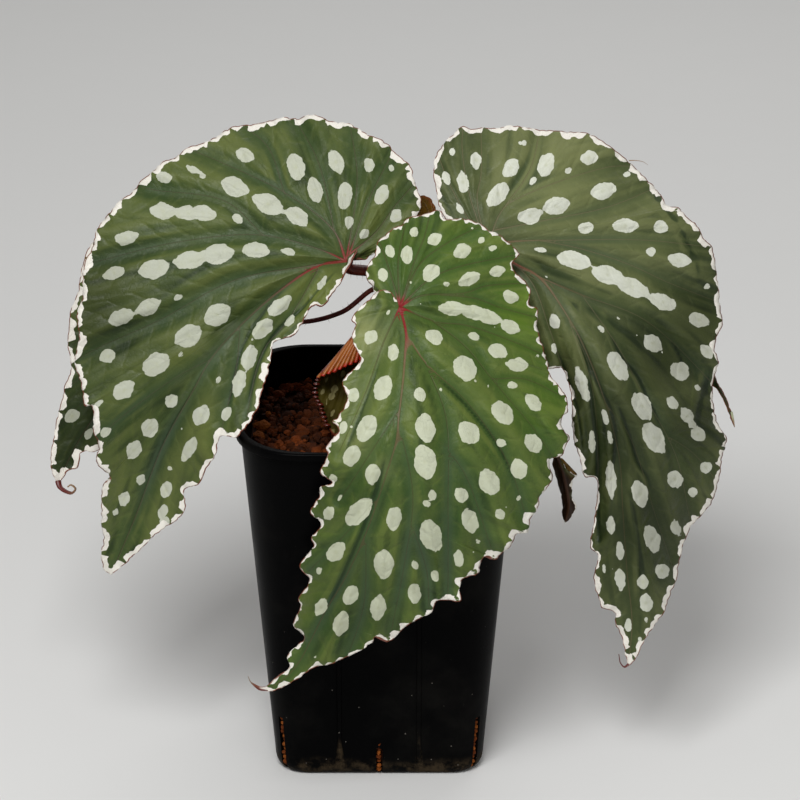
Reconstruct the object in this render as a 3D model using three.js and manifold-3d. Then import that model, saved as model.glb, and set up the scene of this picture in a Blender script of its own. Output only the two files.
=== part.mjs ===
// Potted begonia: a tall slotted plastic pot, clay granules, a short stem with its leaf stalks, and
// eight toothed, pleated leaf blades. Millimetres, +Z up, origin at the centre of the pot's underside,
// front towards -Y.
import * as THREE from 'three';
import { mergeVertices } from 'three/addons/utils/BufferGeometryUtils.js';
import Module from 'manifold-3d';

// ---- driving dimensions of the pot ----
const POT_HEIGHT = 140;
const RIM_HALF = 52.5; // half the width over the rolled rim
const RIM_BAND = 3; // height of the rolled rim
const RIM_STEP = 1.5; // how far the rim stands out from the wall
const WALL_TOP_HALF = RIM_HALF - RIM_STEP;
const FOOT_HALF = 39.8; // half the width where the wall meets the rounded foot edge
const FOOT_HEIGHT = 6; // height of the rounded foot edge
const FOOT_ROUND = 3; // how far that edge draws in
const WALL = 1.3;
const FLOOR = 2.2;
const FOOT_INSIDE = FOOT_HALF - WALL - 1.4; // half the width of the floor inside
const CORNER_TOP = 25; // corner radius at the rim
const CORNER_FOOT = 11; // corner radius at the foot
const RIB_OFFSET = 15; // from the middle of a face
const RIB_WIDTH = 1.4;
const RIB_PROUD = 0.6;
const CORNER_SLIT = { width: 2.4, height: 24, depth: 9 };
const FACE_SLIT = { width: 2.3, height: 12, depth: 6 };

// ---- driving dimensions of the filling and the plant ----
const FILL_GAP = 0.35; // between the granules and the pot wall
const FILL_EDGE = 126; // height of the granules at the wall
const FILL_MOUND = 3.5; // how much higher they lie in the middle
const GRANULE_COUNT = 74;
const BLADE = 0.8; // thickness of a leaf blade
const JOIN_GAP = 0.4; // between a blade and its stalk
const STEM_RADIUS = 6.5;
const STEM_DEPTH = 15; // how deep the stem stands in the granules

// ---- the drawing sheet ----
// Leaves and stalks are drawn on a sheet that faces the front and leans back, as seen by an eye 1.2 m
// away. x runs right and y down, and the third number is the height above the sheet in mm, towards
// the eye.
const SHEET_UNIT = 0.375; // mm
const SHEET_LEAN = THREE.MathUtils.degToRad(23.45);
const SHEET_EYE = 1200; // mm
const SHEET_AXIS = [400, 400]; // where the eye looks
const SHEET_RIM_CENTRE = [379, 397]; // the middle of the pot's mouth

const PLASTIC = new THREE.MeshStandardMaterial({ color: 0x16171a, roughness: 0.5, metalness: 0 });
const CLAY = new THREE.MeshStandardMaterial({ color: 0x6b2f1a, roughness: 0.95, metalness: 0 });
const STALK = new THREE.MeshStandardMaterial({ color: 0x7d2a20, roughness: 0.6, metalness: 0 });
const LEAF = new THREE.MeshStandardMaterial({ color: 0x4a6238, roughness: 0.5, metalness: 0 });
const LEAF_YOUNG = new THREE.MeshStandardMaterial({ color: 0x9a4420, roughness: 0.5, metalness: 0 });

const wasm = await Module();
wasm.setup();

const plant = new THREE.Group();
plant.name = 'potted_begonia';

function addPiece(name, geometry, material) {
  const mesh = new THREE.Mesh(geometry, material);
  mesh.name = name;
  plant.add(mesh);
}

// ---- solids ----
function weld(geometry) {
  geometry.deleteAttribute('normal');
  geometry.deleteAttribute('uv');
  return mergeVertices(geometry, 1e-4);
}

function toSolid(geometry) {
  const welded = weld(geometry.clone());
  return new wasm.Manifold(new wasm.Mesh({
    numProp: 3,
    vertProperties: new Float32Array(welded.attributes.position.array),
    triVerts: new Uint32Array(welded.index.array),
  }));
}

function fromSolid(solid) {
  const mesh = solid.getMesh();
  const geometry = new THREE.BufferGeometry();
  geometry.setAttribute('position', new THREE.BufferAttribute(new Float32Array(mesh.vertProperties), 3));
  geometry.setIndex(new THREE.BufferAttribute(new Uint32Array(mesh.triVerts), 1));
  return geometry;
}

function fuse(parts) {
  return parts.reduce((sum, part) => sum.add(part));
}

// A seeded random draw in [0, 1).
function makeRandom(seed) {
  let state = seed;
  return () => {
    state = (state * 1664525 + 1013904223) % 4294967296;
    return state / 4294967296;
  };
}

// ---- rounded-square turning ----
// A lathe profile of [half width, z] is turned, and each ring is then drawn out into a square of that
// half width with rounded corners.
const CORNER_STEPS = 6;
const FACE_STEPS = 2;
const RING_STEPS = 4 * (CORNER_STEPS + FACE_STEPS);

function cornerRadius(half, z) {
  const share = THREE.MathUtils.clamp(z / POT_HEIGHT, 0, 1);
  return Math.min(CORNER_FOOT + (CORNER_TOP - CORNER_FOOT) * share, half * 0.9);
}

function ringPoint(step, half, radius) {
  const quarter = Math.floor(step / (CORNER_STEPS + FACE_STEPS)) % 4;
  const local = step % (CORNER_STEPS + FACE_STEPS);
  const point = new THREE.Vector2();
  if (local <= CORNER_STEPS) {
    const angle = (local / CORNER_STEPS) * (Math.PI / 2);
    point.set(half - radius + radius * Math.cos(angle), half - radius + radius * Math.sin(angle));
  } else {
    const share = (local - CORNER_STEPS) / FACE_STEPS;
    point.set((half - radius) * (1 - 2 * share), half);
  }
  return point.rotateAround(new THREE.Vector2(0, 0), (quarter * Math.PI) / 2);
}

function turnSquare(profile, lift = () => 0) {
  const points = profile.map(([half, z]) => new THREE.Vector2(half, z));
  const geometry = new THREE.LatheGeometry(points, RING_STEPS);
  const position = geometry.attributes.position;
  for (let step = 0; step <= RING_STEPS; step++) {
    for (let row = 0; row < profile.length; row++) {
      const [half, z] = profile[row];
      const point = ringPoint(step % RING_STEPS, half, cornerRadius(half, z));
      const height = z + lift(row, step % RING_STEPS);
      position.setXYZ(step * profile.length + row, point.x, point.y, height);
    }
  }
  return weld(geometry);
}

// ---- pot ----
function wallHalf(z) {
  const share = (z - FOOT_HEIGHT) / (POT_HEIGHT - FOOT_HEIGHT);
  return FOOT_HALF + (WALL_TOP_HALF - FOOT_HALF) * share;
}

function makePot() {
  const band = POT_HEIGHT - RIM_BAND;
  const shell = toSolid(turnSquare([
    [0, 0],
    [FOOT_HALF - FOOT_ROUND, 0],
    [FOOT_HALF - 0.4 * FOOT_ROUND, 0.2 * FOOT_HEIGHT],
    [FOOT_HALF - 0.1 * FOOT_ROUND, 0.55 * FOOT_HEIGHT],
    [FOOT_HALF, FOOT_HEIGHT],
    [wallHalf(band), band],
    [RIM_HALF - 0.3, band + 0.2],
    [RIM_HALF, band + 1],
    [RIM_HALF, POT_HEIGHT - 0.8],
    [RIM_HALF - 0.8, POT_HEIGHT],
    [WALL_TOP_HALF - WALL, POT_HEIGHT - 0.4],
    [FOOT_HALF - WALL, FOOT_HEIGHT],
    [FOOT_INSIDE, FLOOR],
    [0, FLOOR],
  ]));

  const ribs = [];
  const slits = [];
  const ribLow = FOOT_HEIGHT + 1;
  const ribHigh = band - 1;
  const ribLean = Math.atan2(wallHalf(ribHigh) - wallHalf(ribLow), ribHigh - ribLow);
  for (let face = 0; face < 4; face++) {
    const turn = (face * Math.PI) / 2;
    for (const side of [-1, 1]) {
      const rib = new THREE.BoxGeometry(RIB_WIDTH, 2 * RIB_PROUD, ribHigh - ribLow);
      rib.rotateX(ribLean);
      rib.translate(side * RIB_OFFSET, -wallHalf((ribLow + ribHigh) / 2), (ribLow + ribHigh) / 2);
      rib.rotateZ(turn);
      ribs.push(toSolid(rib));
    }
    const faceSlit = new THREE.BoxGeometry(FACE_SLIT.width, FACE_SLIT.depth, FACE_SLIT.height + 1);
    faceSlit.translate(0, -FOOT_HALF, (FACE_SLIT.height - 1) / 2);
    faceSlit.rotateZ(turn);
    slits.push(toSolid(faceSlit));
    const cornerReach = (FOOT_HALF - CORNER_FOOT) * Math.SQRT2 + CORNER_FOOT;
    const cornerSlit = new THREE.BoxGeometry(CORNER_SLIT.width, CORNER_SLIT.depth, CORNER_SLIT.height + 1);
    cornerSlit.translate(0, -cornerReach, (CORNER_SLIT.height - 1) / 2);
    cornerSlit.rotateZ(turn + Math.PI / 4);
    slits.push(toSolid(cornerSlit));
  }
  return fromSolid(fuse([shell, ...ribs]).subtract(fuse(slits)));
}

// ---- clay granules ----
function fillHeight(x, y) {
  const reach = Math.max(Math.abs(x), Math.abs(y)) / wallHalf(FILL_EDGE);
  return FILL_EDGE + FILL_MOUND * (1 - reach * reach);
}

const STEM_PLACE = new THREE.Vector2(2, 2);

function makeGranules() {
  const random = makeRandom(7);
  const edge = wallHalf(FILL_EDGE) - WALL - FILL_GAP;
  const low = FLOOR + FILL_GAP;
  const rings = [0.93, 0.85, 0.76, 0.66, 0.55, 0.43, 0.3, 0.16];
  const firstRing = 4;
  const profile = [
    [0, low],
    [FOOT_INSIDE - FILL_GAP, low],
    [FOOT_HALF - WALL - FILL_GAP, FOOT_HEIGHT],
    [edge, FILL_EDGE],
    ...rings.map((share) => [edge * share, FILL_EDGE + FILL_MOUND * (1 - share * share)]),
    [0, FILL_EDGE + FILL_MOUND],
  ];
  const relief = rings.map(() => Array.from({ length: RING_STEPS }, () => 2.6 * random() - 1.3));
  const bed = toSolid(turnSquare(profile, (row, step) => {
    const ring = row - firstRing;
    return ring >= 0 && ring < rings.length ? relief[ring][step] : 0;
  }));

  // Larger granules lie on the bed along a sunflower spiral, sunk to about half their size.
  const granules = [];
  const goldenAngle = Math.PI * (3 - Math.sqrt(5));
  for (let i = 0; i < GRANULE_COUNT; i++) {
    const reach = (edge - 5) * Math.sqrt((i + 0.5) / GRANULE_COUNT);
    const angle = i * goldenAngle;
    const radius = 1.7 + 1.5 * random();
    const granule = new THREE.IcosahedronGeometry(radius, 0);
    granule.scale(1, 0.8 + 0.3 * random(), 0.7 + 0.3 * random());
    granule.rotateZ(random() * Math.PI);
    granule.rotateX(random() * Math.PI);
    const x = reach * Math.cos(angle);
    const y = reach * Math.sin(angle);
    granule.translate(x, y, fillHeight(x, y) - 0.4);
    const clear = Math.hypot(x - STEM_PLACE.x, y - STEM_PLACE.y) > STEM_RADIUS + radius + 0.8;
    if (clear) granules.push(toSolid(granule));
  }

  const socket = new THREE.CylinderGeometry(STEM_RADIUS + 0.35, STEM_RADIUS + 0.35, 60, 16);
  socket.rotateX(Math.PI / 2);
  socket.translate(STEM_PLACE.x, STEM_PLACE.y, FILL_EDGE - STEM_DEPTH - 0.35 + 30);
  return fromSolid(fuse([bed, ...granules]).subtract(toSolid(socket)));
}

// ---- the sheet in space ----
const SHEET_UP = new THREE.Vector3(0, Math.sin(SHEET_LEAN), Math.cos(SHEET_LEAN));
const SHEET_OUT = new THREE.Vector3(0, -Math.cos(SHEET_LEAN), Math.sin(SHEET_LEAN));

function onSheet([x, y, height]) {
  const shrink = SHEET_UNIT * (1 - height / SHEET_EYE);
  const right = (x - SHEET_AXIS[0]) * shrink + (SHEET_AXIS[0] - SHEET_RIM_CENTRE[0]) * SHEET_UNIT;
  const up = (SHEET_AXIS[1] - y) * shrink - (SHEET_AXIS[1] - SHEET_RIM_CENTRE[1]) * SHEET_UNIT;
  return new THREE.Vector3(right, 0, POT_HEIGHT)
    .addScaledVector(SHEET_UP, up)
    .addScaledVector(SHEET_OUT, height);
}

// ---- leaves ----
// A blade is drawn by its midrib, from the stalk to the tip, and its two margins, each from the tip
// back to the notch at the stalk. Spokes run from the midrib to the margins: past a margin's share
// `fan`, counted from the tip, they all start at the stalk. `drop` bends the spokes, `veins` are sunken
// lines that pleat the blade.
const SPOKE_ROWS = [0.2, 0.42, 0.64, 0.84, 1];
const PLEAT_REACH = 7; // mm from a vein to the crest beside it
const MIDRIB_STEPS = 14;

const LEAVES = {
  leaf_left: {
    pleat: 1.8,
    drop: 1.7,
    midrib: [[346, 261, 12], [320, 265, 16], [282, 289, 24], [239, 327, 31], [211, 359, 33],
      [194, 389, 32], [163, 445, 25], [135, 518, 14], [111, 575, 6]],
    margins: [
      {
        fan: 0.94,
        points: [[123, 566, 7], [138, 552, 10], [156, 535, 14], [173, 523, 17], [182, 516, 18],
          [186, 503, 20], [184, 490, 21], [198, 485, 25], [206, 469, 28], [215, 456, 32],
          [221, 436, 36], [234, 438, 38], [241, 433, 39], [257, 410, 38], [261, 395, 36],
          [267, 377, 34], [271, 359, 32], [275, 342, 29], [285, 338, 28], [294, 335, 27],
          [309, 311, 24], [312, 306, 23], [323, 306, 22], [332, 295, 20], [346, 270, 15],
          [351, 264, 13]],
      },
      {
        fan: 0.22,
        points: [[104, 570, 4], [101, 554, 4], [103, 538, 4], [101, 522, 5], [101, 506, 6],
          [103, 481, 8], [111, 478, 9], [96, 465, 7], [95, 446, 6], [92, 420, 5], [85, 406, 4],
          [81, 384, 3], [74, 361, 2], [78, 344, 2], [78, 328, 2], [76, 315, 1], [82, 298, 1],
          [82, 280, 0], [83, 266, -1], [92, 247, -2], [96, 230, -3], [104, 219, -4], [118, 202, -5],
          [132, 192, -6], [138, 183, -7], [148, 175, -7], [162, 162, -8], [175, 157, -9],
          [188, 147, -10], [203, 143, -10], [216, 136, -11], [231, 127, -12], [244, 125, -12],
          [264, 122, -12], [283, 117, -12], [298, 118, -12], [313, 114, -11], [331, 121, -10],
          [349, 123, -8], [368, 134, -6], [386, 142, -4], [397, 154, -2], [411, 166, 0],
          [414, 178, 2], [418, 190, 3], [422, 204, 4], [412, 223, 6], [395, 240, 8],
          [372, 250, 10], [356, 251, 11]],
      },
    ],
    veins: [
      [[346, 261], [310, 266], [235, 280], [160, 320], [98, 348], [76, 360]],
      [[346, 261], [324, 251], [261, 235], [178, 242], [91, 263]],
      [[346, 261], [334, 231], [287, 194], [225, 164], [192, 150]],
      [[334, 231], [327, 194], [317, 159], [296, 120]],
      [[346, 261], [355, 206], [357, 171], [350, 125]],
      [[350, 252], [367, 204], [383, 171], [394, 150]],
      [[350, 254], [376, 232], [395, 206], [416, 182]],
      [[211, 359], [175, 378], [123, 416], [96, 440]],
      [[285, 195], [268, 147], [244, 126]],
      [[263, 235], [225, 201], [154, 190], [138, 186]],
      [[318, 270], [287, 322], [263, 351], [246, 420]],
      [[240, 330], [236, 370], [219, 440]],
    ],
  },
  leaf_centre: {
    pleat: 1.9,
    drop: 1.6,
    midrib: [[400, 307, 42], [406, 333, 47], [405, 355, 51], [403, 381, 55], [399, 415, 59],
      [396, 442, 61], [387, 472, 60], [366, 533, 52], [344, 580, 44], [326, 610, 39],
      [310, 642, 33], [299, 662, 29], [285, 678, 26], [264, 689, 24], [250, 682, 24]],
    margins: [
      {
        fan: 0.86,
        points: [[263, 687, 24], [278, 676, 25], [289, 667, 26], [287, 656, 26], [297, 645, 27],
          [304, 637, 28], [293, 625, 27], [300, 607, 30], [298, 599, 30], [309, 580, 34],
          [299, 567, 33], [313, 546, 38], [311, 538, 39], [321, 524, 42], [310, 513, 41],
          [319, 495, 46], [320, 487, 48], [332, 483, 51], [320, 473, 51], [328, 453, 56],
          [326, 448, 56], [332, 439, 56], [339, 430, 56], [332, 421, 54], [336, 418, 54],
          [347, 398, 52], [342, 384, 50], [345, 377, 49], [361, 359, 49], [354, 347, 46],
          [352, 335, 44], [355, 324, 42], [351, 320, 41], [358, 311, 40], [374, 296, 40],
          [384, 291, 41], [394, 296, 41.5]],
      },
      {
        fan: 0.62,
        points: [[268, 692, 24], [296, 680, 25], [316, 667, 27], [332, 664, 28], [345, 658, 29],
          [360, 651, 31], [373, 642, 32], [375, 635, 33], [390, 643, 33], [400, 632, 34],
          [410, 624, 35], [424, 617, 35], [432, 612, 36], [438, 601, 37], [461, 601, 35],
          [460, 589, 36], [463, 579, 37], [479, 574, 36], [481, 562, 37], [487, 554, 37],
          [496, 562, 35], [503, 553, 35], [511, 546, 35], [518, 534, 34], [528, 533, 33],
          [531, 519, 33], [539, 507, 32], [540, 496, 33], [547, 489, 32], [553, 478, 31],
          [550, 460, 32], [561, 456, 30], [562, 446, 30], [565, 439, 30], [558, 427, 30],
          [558, 418, 30], [568, 412, 27], [567, 398, 27], [561, 388, 27], [550, 374, 28],
          [548, 362, 27], [544, 349, 26], [540, 337, 26], [537, 325, 25], [538, 309, 24],
          [529, 304, 25], [531, 291, 24], [527, 283, 24], [515, 271, 25], [512, 263, 25],
          [520, 254, 23], [506, 240, 23], [498, 233, 22], [490, 231, 23], [481, 224, 22],
          [463, 218, 22], [453, 219, 23], [444, 218, 23], [440, 210, 22], [421, 215, 24],
          [407, 218, 25], [401, 225, 26], [394, 227, 27], [386, 234, 28], [378, 241, 29],
          [374, 256, 32], [368, 264, 33], [367, 276, 35], [371, 283, 36], [378, 285, 38],
          [386, 285, 39], [395, 290, 40]],
      },
    ],
    veins: [
      [[400, 307], [394, 286], [386, 260], [380, 243]],
      [[400, 307], [398, 265], [401, 243], [406, 222]],
      [[400, 307], [415, 260], [424, 238], [429, 218]],
      [[400, 307], [420, 264], [444, 245], [478, 227]],
      [[400, 307], [430, 279], [458, 267], [516, 255]],
      [[400, 307], [420, 296], [465, 293], [486, 286], [530, 283]],
      [[441, 295], [474, 298], [499, 307], [538, 318]],
      [[400, 307], [437, 322], [465, 325], [517, 343], [546, 356]],
      [[430, 319], [465, 346], [492, 379], [534, 429], [556, 462]],
      [[492, 379], [525, 379], [562, 396]],
      [[406, 333], [425, 362], [468, 403], [507, 461], [528, 522]],
      [[425, 362], [446, 417], [448, 507], [448, 600]],
      [[446, 448], [465, 474], [492, 550]],
      [[400, 427], [413, 496], [405, 561], [391, 632]],
      [[413, 528], [427, 572], [429, 606]],
      [[366, 541], [364, 604], [348, 656]],
      [[400, 307], [384, 341], [367, 389], [340, 450]],
      [[399, 410], [379, 440], [340, 500]],
      [[376, 500], [340, 540], [310, 570]],
    ],
  },
  leaf_right: {
    pleat: 1.8,
    drop: 1.7,
    midrib: [[487, 247, 10], [517, 265, 14], [539, 277, 17], [568, 317, 20], [586, 351, 21],
      [604, 399, 20], [619, 456, 18], [623, 514, 14], [627, 571, 9], [632, 623, 4],
      [628, 667, 0]],
    margins: [
      {
        fan: 0.95,
        points: [[625, 650, 1], [621, 634, 1], [616, 624, 2], [615, 612, 3], [603, 608, 3],
          [599, 598, 4], [596, 589, 5], [594, 576, 6], [598, 555, 8], [591, 548, 8],
          [594, 523, 10], [596, 508, 11], [596, 478, 12], [585, 476, 12], [580, 458, 13],
          [574, 439, 13], [572, 415, 13], [572, 399, 13], [568, 382, 13], [561, 367, 12],
          [549, 369, 12], [536, 350, 12], [520, 318, 12], [505, 285, 11], [496, 261, 10.5]],
      },
      {
        fan: 0.42,
        points: [[636, 659, 0], [642, 646, 0], [649, 634, -1], [657, 623, -2], [665, 611, -3],
          [671, 594, -5], [677, 579, -6], [680, 560, -8], [687, 536, -9], [693, 525, -10],
          [703, 514, -11], [712, 503, -12], [717, 488, -13], [721, 471, -14], [722, 460, -14],
          [727, 438, -16], [721, 429, -16], [715, 411, -16], [713, 394, -17], [714, 379, -17],
          [719, 362, -18], [715, 348, -18], [718, 335, -19], [723, 324, -20], [721, 311, -20],
          [719, 288, -20], [716, 268, -20], [713, 248, -20], [704, 238, -19], [696, 223, -19],
          [688, 218, -18], [680, 208, -18], [668, 205, -17], [658, 190, -17], [648, 180, -16],
          [636, 168, -16], [624, 157, -15], [600, 139, -14], [588, 133, -14], [564, 131, -13],
          [537, 129, -12], [510, 125, -11], [498, 128, -10], [484, 127, -9], [472, 129, -8],
          [462, 126, -7], [454, 133, -6], [442, 145, -4], [435, 157, -3], [433, 173, -1],
          [436, 190, 1], [439, 207, 3], [452, 228, 6], [473, 244, 9]],
      },
    ],
    veins: [
      [[539, 277], [582, 295], [638, 316], [669, 339], [714, 385]],
      [[582, 295], [618, 347], [640, 388], [676, 456], [690, 520]],
      [[607, 405], [630, 437], [655, 514], [674, 571]],
      [[669, 437], [693, 453], [716, 480]],
      [[487, 247], [508, 242], [568, 240], [643, 240], [710, 247]],
      [[537, 240], [578, 248], [628, 264], [667, 282], [720, 303]],
      [[487, 247], [503, 209], [525, 195], [608, 167], [634, 166]],
      [[495, 230], [541, 221], [608, 207], [655, 188]],
      [[487, 247], [477, 199], [481, 175], [481, 127]],
      [[487, 247], [469, 193], [462, 146], [463, 127]],
      [[484, 246], [452, 189], [436, 150]],
      [[487, 247], [529, 278], [549, 327], [572, 399]],
      [[568, 318], [592, 387], [598, 456], [596, 533]],
      [[503, 209], [530, 170], [540, 130]],
    ],
  },
  leaf_back_left: {
    pleat: 1.4,
    drop: 1.6,
    midrib: [[256, 312, -10], [215, 318, -9], [170, 338, -9], [128, 372, -10], [92, 420, -12],
      [70, 457, -14], [58, 485, -15]],
    margins: [
      {
        fan: 0.9,
        points: [[69, 470, -14], [77, 468, -14], [82, 453, -14], [95, 452, -14], [112, 447, -14],
          [126, 430, -13], [141, 420, -13], [150, 400, -12], [172, 392, -12], [180, 372, -11],
          [204, 366, -11], [215, 348, -10], [236, 342, -10], [248, 324, -10]],
      },
      {
        fan: 0.4,
        points: [[53, 475, -15], [50, 461, -16], [53, 439, -16], [58, 412, -16], [62, 399, -16],
          [64, 387, -16], [70, 372, -16], [70, 359, -16], [67, 342, -16], [69, 325, -17],
          [70, 311, -17], [77, 294, -17], [82, 266, -18], [91, 244, -18], [106, 236, -18],
          [122, 226, -18], [146, 224, -18], [166, 226, -17], [190, 232, -16], [214, 246, -15],
          [232, 258, -14], [246, 276, -13], [254, 296, -11]],
      },
    ],
    veins: [
      [[256, 312], [200, 292], [140, 305], [72, 345]],
      [[256, 312], [210, 268], [150, 250], [98, 250]],
      [[170, 338], [120, 352], [64, 390]],
      [[128, 372], [90, 395], [56, 430]],
      [[200, 322], [170, 372], [150, 398]],
    ],
  },
  leaf_back_right: {
    pleat: 1.2,
    drop: 1.5,
    midrib: [[634, 254, -28], [656, 276, -27], [682, 312, -27], [702, 350, -28], [718, 384, -29],
      [729, 408, -30], [735, 427, -31]],
    margins: [
      {
        fan: 0.7,
        points: [[728, 412, -30], [719, 396, -30], [708, 386, -30], [694, 384, -30],
          [684, 372, -31], [668, 368, -31], [656, 352, -32], [640, 346, -32], [628, 328, -32],
          [616, 316, -32], [606, 296, -32], [604, 274, -31], [616, 260, -30], [628, 257, -29]],
      },
      {
        fan: 0.6,
        points: [[732, 412, -31], [725, 395, -31], [716, 377, -32], [712, 360, -33],
          [710, 342, -33], [706, 322, -34], [704, 300, -34], [697, 280, -35], [690, 260, -35],
          [678, 244, -35], [664, 226, -35], [652, 212, -34], [640, 198, -33], [626, 186, -33],
          [614, 190, -32], [608, 208, -31], [610, 228, -30], [620, 245, -29]],
      },
    ],
    veins: [
      [[634, 254], [664, 254], [690, 268]],
      [[634, 254], [636, 224], [628, 190]],
      [[656, 276], [690, 292], [706, 318]],
      [[656, 276], [656, 312], [652, 350]],
      [[634, 254], [618, 282], [612, 308]],
    ],
  },
  leaf_back_middle: {
    facesBack: true,
    pleat: 1.3,
    drop: 1.3,
    midrib: [[440, 243, -9], [452, 262, -24], [460, 290, -42], [462, 320, -58], [460, 350, -70],
      [456, 386, -80]],
    margins: [
      {
        fan: 0.4,
        points: [[440, 372, -80], [420, 362, -77], [408, 344, -72], [394, 330, -67],
          [390, 308, -59], [380, 290, -52], [381, 268, -43], [378, 250, -36], [384, 230, -29],
          [392, 214, -24], [404, 204, -20], [417, 197, -17], [428, 196, -15], [436, 208, -12],
          [437, 226, -10]],
      },
      {
        fan: 0.5,
        points: [[474, 378, -80], [492, 372, -79], [508, 356, -77], [524, 344, -74],
          [532, 322, -68], [544, 304, -62], [543, 282, -54], [546, 262, -47], [538, 242, -40],
          [530, 222, -33], [514, 208, -28], [498, 198, -24], [480, 196, -21], [462, 198, -18],
          [451, 212, -14], [446, 228, -11]],
      },
    ],
    veins: [
      [[440, 243], [410, 240], [380, 255]],
      [[440, 243], [418, 216], [410, 200]],
      [[452, 262], [420, 290], [393, 325]],
      [[440, 243], [475, 222], [500, 199]],
      [[440, 243], [490, 240], [542, 258]],
      [[452, 262], [500, 285], [542, 300]],
      [[460, 290], [490, 330], [515, 350]],
    ],
  },
  leaf_small: {
    pleat: 0.5,
    drop: 1.3,
    midrib: [[555, 452, 14], [562, 470, 12], [566.5, 488, 9], [569, 505, 7], [565, 523, 6]],
    margins: [
      {
        fan: 0.7,
        points: [[562, 515, 3], [562, 502, 2], [559, 489, 2], [555.5, 476, 4], [552, 464, 8]],
      },
      {
        fan: 0.7,
        points: [[571, 517, 6], [576, 506, 5], [573, 494, 6], [572.5, 484, 8], [576, 475, 9],
          [567, 469, 12], [561.5, 459, 13]],
      },
    ],
    veins: [],
  },
};

function distanceToLine(x, y, line) {
  let nearest = Infinity;
  for (let i = 1; i < line.length; i++) {
    const [ax, ay] = line[i - 1];
    const dx = line[i][0] - ax;
    const dy = line[i][1] - ay;
    const share = THREE.MathUtils.clamp(((x - ax) * dx + (y - ay) * dy) / (dx * dx + dy * dy), 0, 1);
    nearest = Math.min(nearest, Math.hypot(x - ax - share * dx, y - ay - share * dy));
  }
  return nearest;
}

function pleatHeight(leaf, x, y) {
  let nearest = distanceToLine(x, y, leaf.midrib);
  for (const vein of leaf.veins) nearest = Math.min(nearest, distanceToLine(x, y, vein));
  return leaf.pleat * THREE.MathUtils.smoothstep(nearest * SHEET_UNIT, 0, PLEAT_REACH);
}

// The blade's upper surface: points in space, triangles, and the walk round its edge.
function drawBlade(leaf) {
  const rib = new THREE.CatmullRomCurve3(leaf.midrib.map((p) => new THREE.Vector3(...p)));
  const drawn = [];
  for (let i = 0; i <= MIDRIB_STEPS; i++) drawn.push(rib.getPoint(i / MIDRIB_STEPS));
  const tip = MIDRIB_STEPS;
  const triangles = [];
  const edges = [];

  leaf.margins.forEach((margin, side) => {
    const line = [leaf.midrib.at(-1), ...margin.points];
    const walked = [0];
    for (let i = 1; i < line.length; i++) {
      walked.push(walked[i - 1] + Math.hypot(line[i][0] - line[i - 1][0], line[i][1] - line[i - 1][1]));
    }
    const rows = SPOKE_ROWS.length;
    const first = drawn.length;
    const starts = margin.points.map((point, column) => {
      const share = walked[column + 1] / walked.at(-1);
      const start = Math.max(0, 1 - share / margin.fan);
      const root = rib.getPoint(start);
      for (const row of SPOKE_ROWS) {
        const spoke = new THREE.Vector3(...point);
        const height = THREE.MathUtils.lerp(root.z, spoke.z, row ** leaf.drop);
        drawn.push(spoke.lerp(root, 1 - row).setZ(height));
      }
      return start;
    });
    const id = (column, row) => first + column * rows + row;
    const last = margin.points.length - 1;
    const face = (a, b, c) => triangles.push(side ? [a, b, c] : [a, c, b]);

    let station = tip;
    let column = 0;
    while (station > 0 || column < last) {
      const nextStation = (station - 1) / MIDRIB_STEPS;
      if (station > 0 && (column === last || nextStation >= starts[column + 1])) {
        face(station, station - 1, id(column, 0));
        station--;
      } else {
        face(station, id(column + 1, 0), id(column, 0));
        column++;
      }
    }
    for (let row = 0; row < rows - 1; row++) {
      face(tip, id(0, row), id(0, row + 1));
      for (let c = 0; c < last; c++) {
        face(id(c, row), id(c + 1, row), id(c + 1, row + 1));
        face(id(c, row), id(c + 1, row + 1), id(c, row + 1));
      }
    }
    const outline = margin.points.map((_, c) => id(c, rows - 1));
    const notch = Array.from({ length: rows - 1 }, (_, row) => id(last, rows - 2 - row));
    edges.push([...outline, ...notch]);
  });

  const points = drawn.map(({ x, y, z }) => onSheet([x, y, z + pleatHeight(leaf, x, y)]));
  const rim = [tip, ...edges[1], 0, ...edges[0].reverse()];
  return { points, triangles, rim };
}

// Gives a drawn surface its thickness, away from the eye, with the same triangles on both faces.
function thicken({ points, triangles, rim }, thickness) {
  const normals = points.map(() => new THREE.Vector3());
  const whole = new THREE.Vector3();
  for (const [a, b, c] of triangles) {
    const ab = points[b].clone().sub(points[a]);
    const ac = points[c].clone().sub(points[a]);
    const normal = ab.cross(ac);
    whole.add(normal);
    for (const corner of [a, b, c]) normals[corner].add(normal);
  }
  if (whole.dot(SHEET_OUT) < 0) {
    normals.forEach((normal) => normal.negate());
    triangles.forEach((triangle) => triangle.reverse());
    rim.reverse();
  }
  const count = points.length;
  const vertices = [...points];
  points.forEach((point, i) => vertices.push(point.clone().addScaledVector(normals[i].normalize(), -thickness)));
  const faces = triangles.flatMap(([a, b, c]) => [a, b, c, a + count, c + count, b + count]);
  rim.forEach((from, i) => {
    const to = rim[(i + 1) % rim.length];
    faces.push(from, to, from + count, to, to + count, from + count);
  });
  const geometry = new THREE.BufferGeometry().setFromPoints(vertices);
  geometry.setIndex(faces);
  return { geometry, rootNormal: normals[0] };
}

// Where a stalk meets its blade: the end of the stalk and a point before it, square to the blade.
const stalkEnds = {};

function makeLeaf(name) {
  const leaf = LEAVES[name];
  const { geometry, rootNormal } = thicken(drawBlade(leaf), BLADE);
  const root = onSheet(leaf.midrib[0]);
  const away = leaf.facesBack ? [JOIN_GAP + 7, JOIN_GAP] : [-BLADE - JOIN_GAP - 7, -BLADE - JOIN_GAP];
  stalkEnds[name] = away.map((distance) => root.clone().addScaledVector(rootNormal, distance));
  addPiece(name, geometry, LEAF);
}

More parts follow.
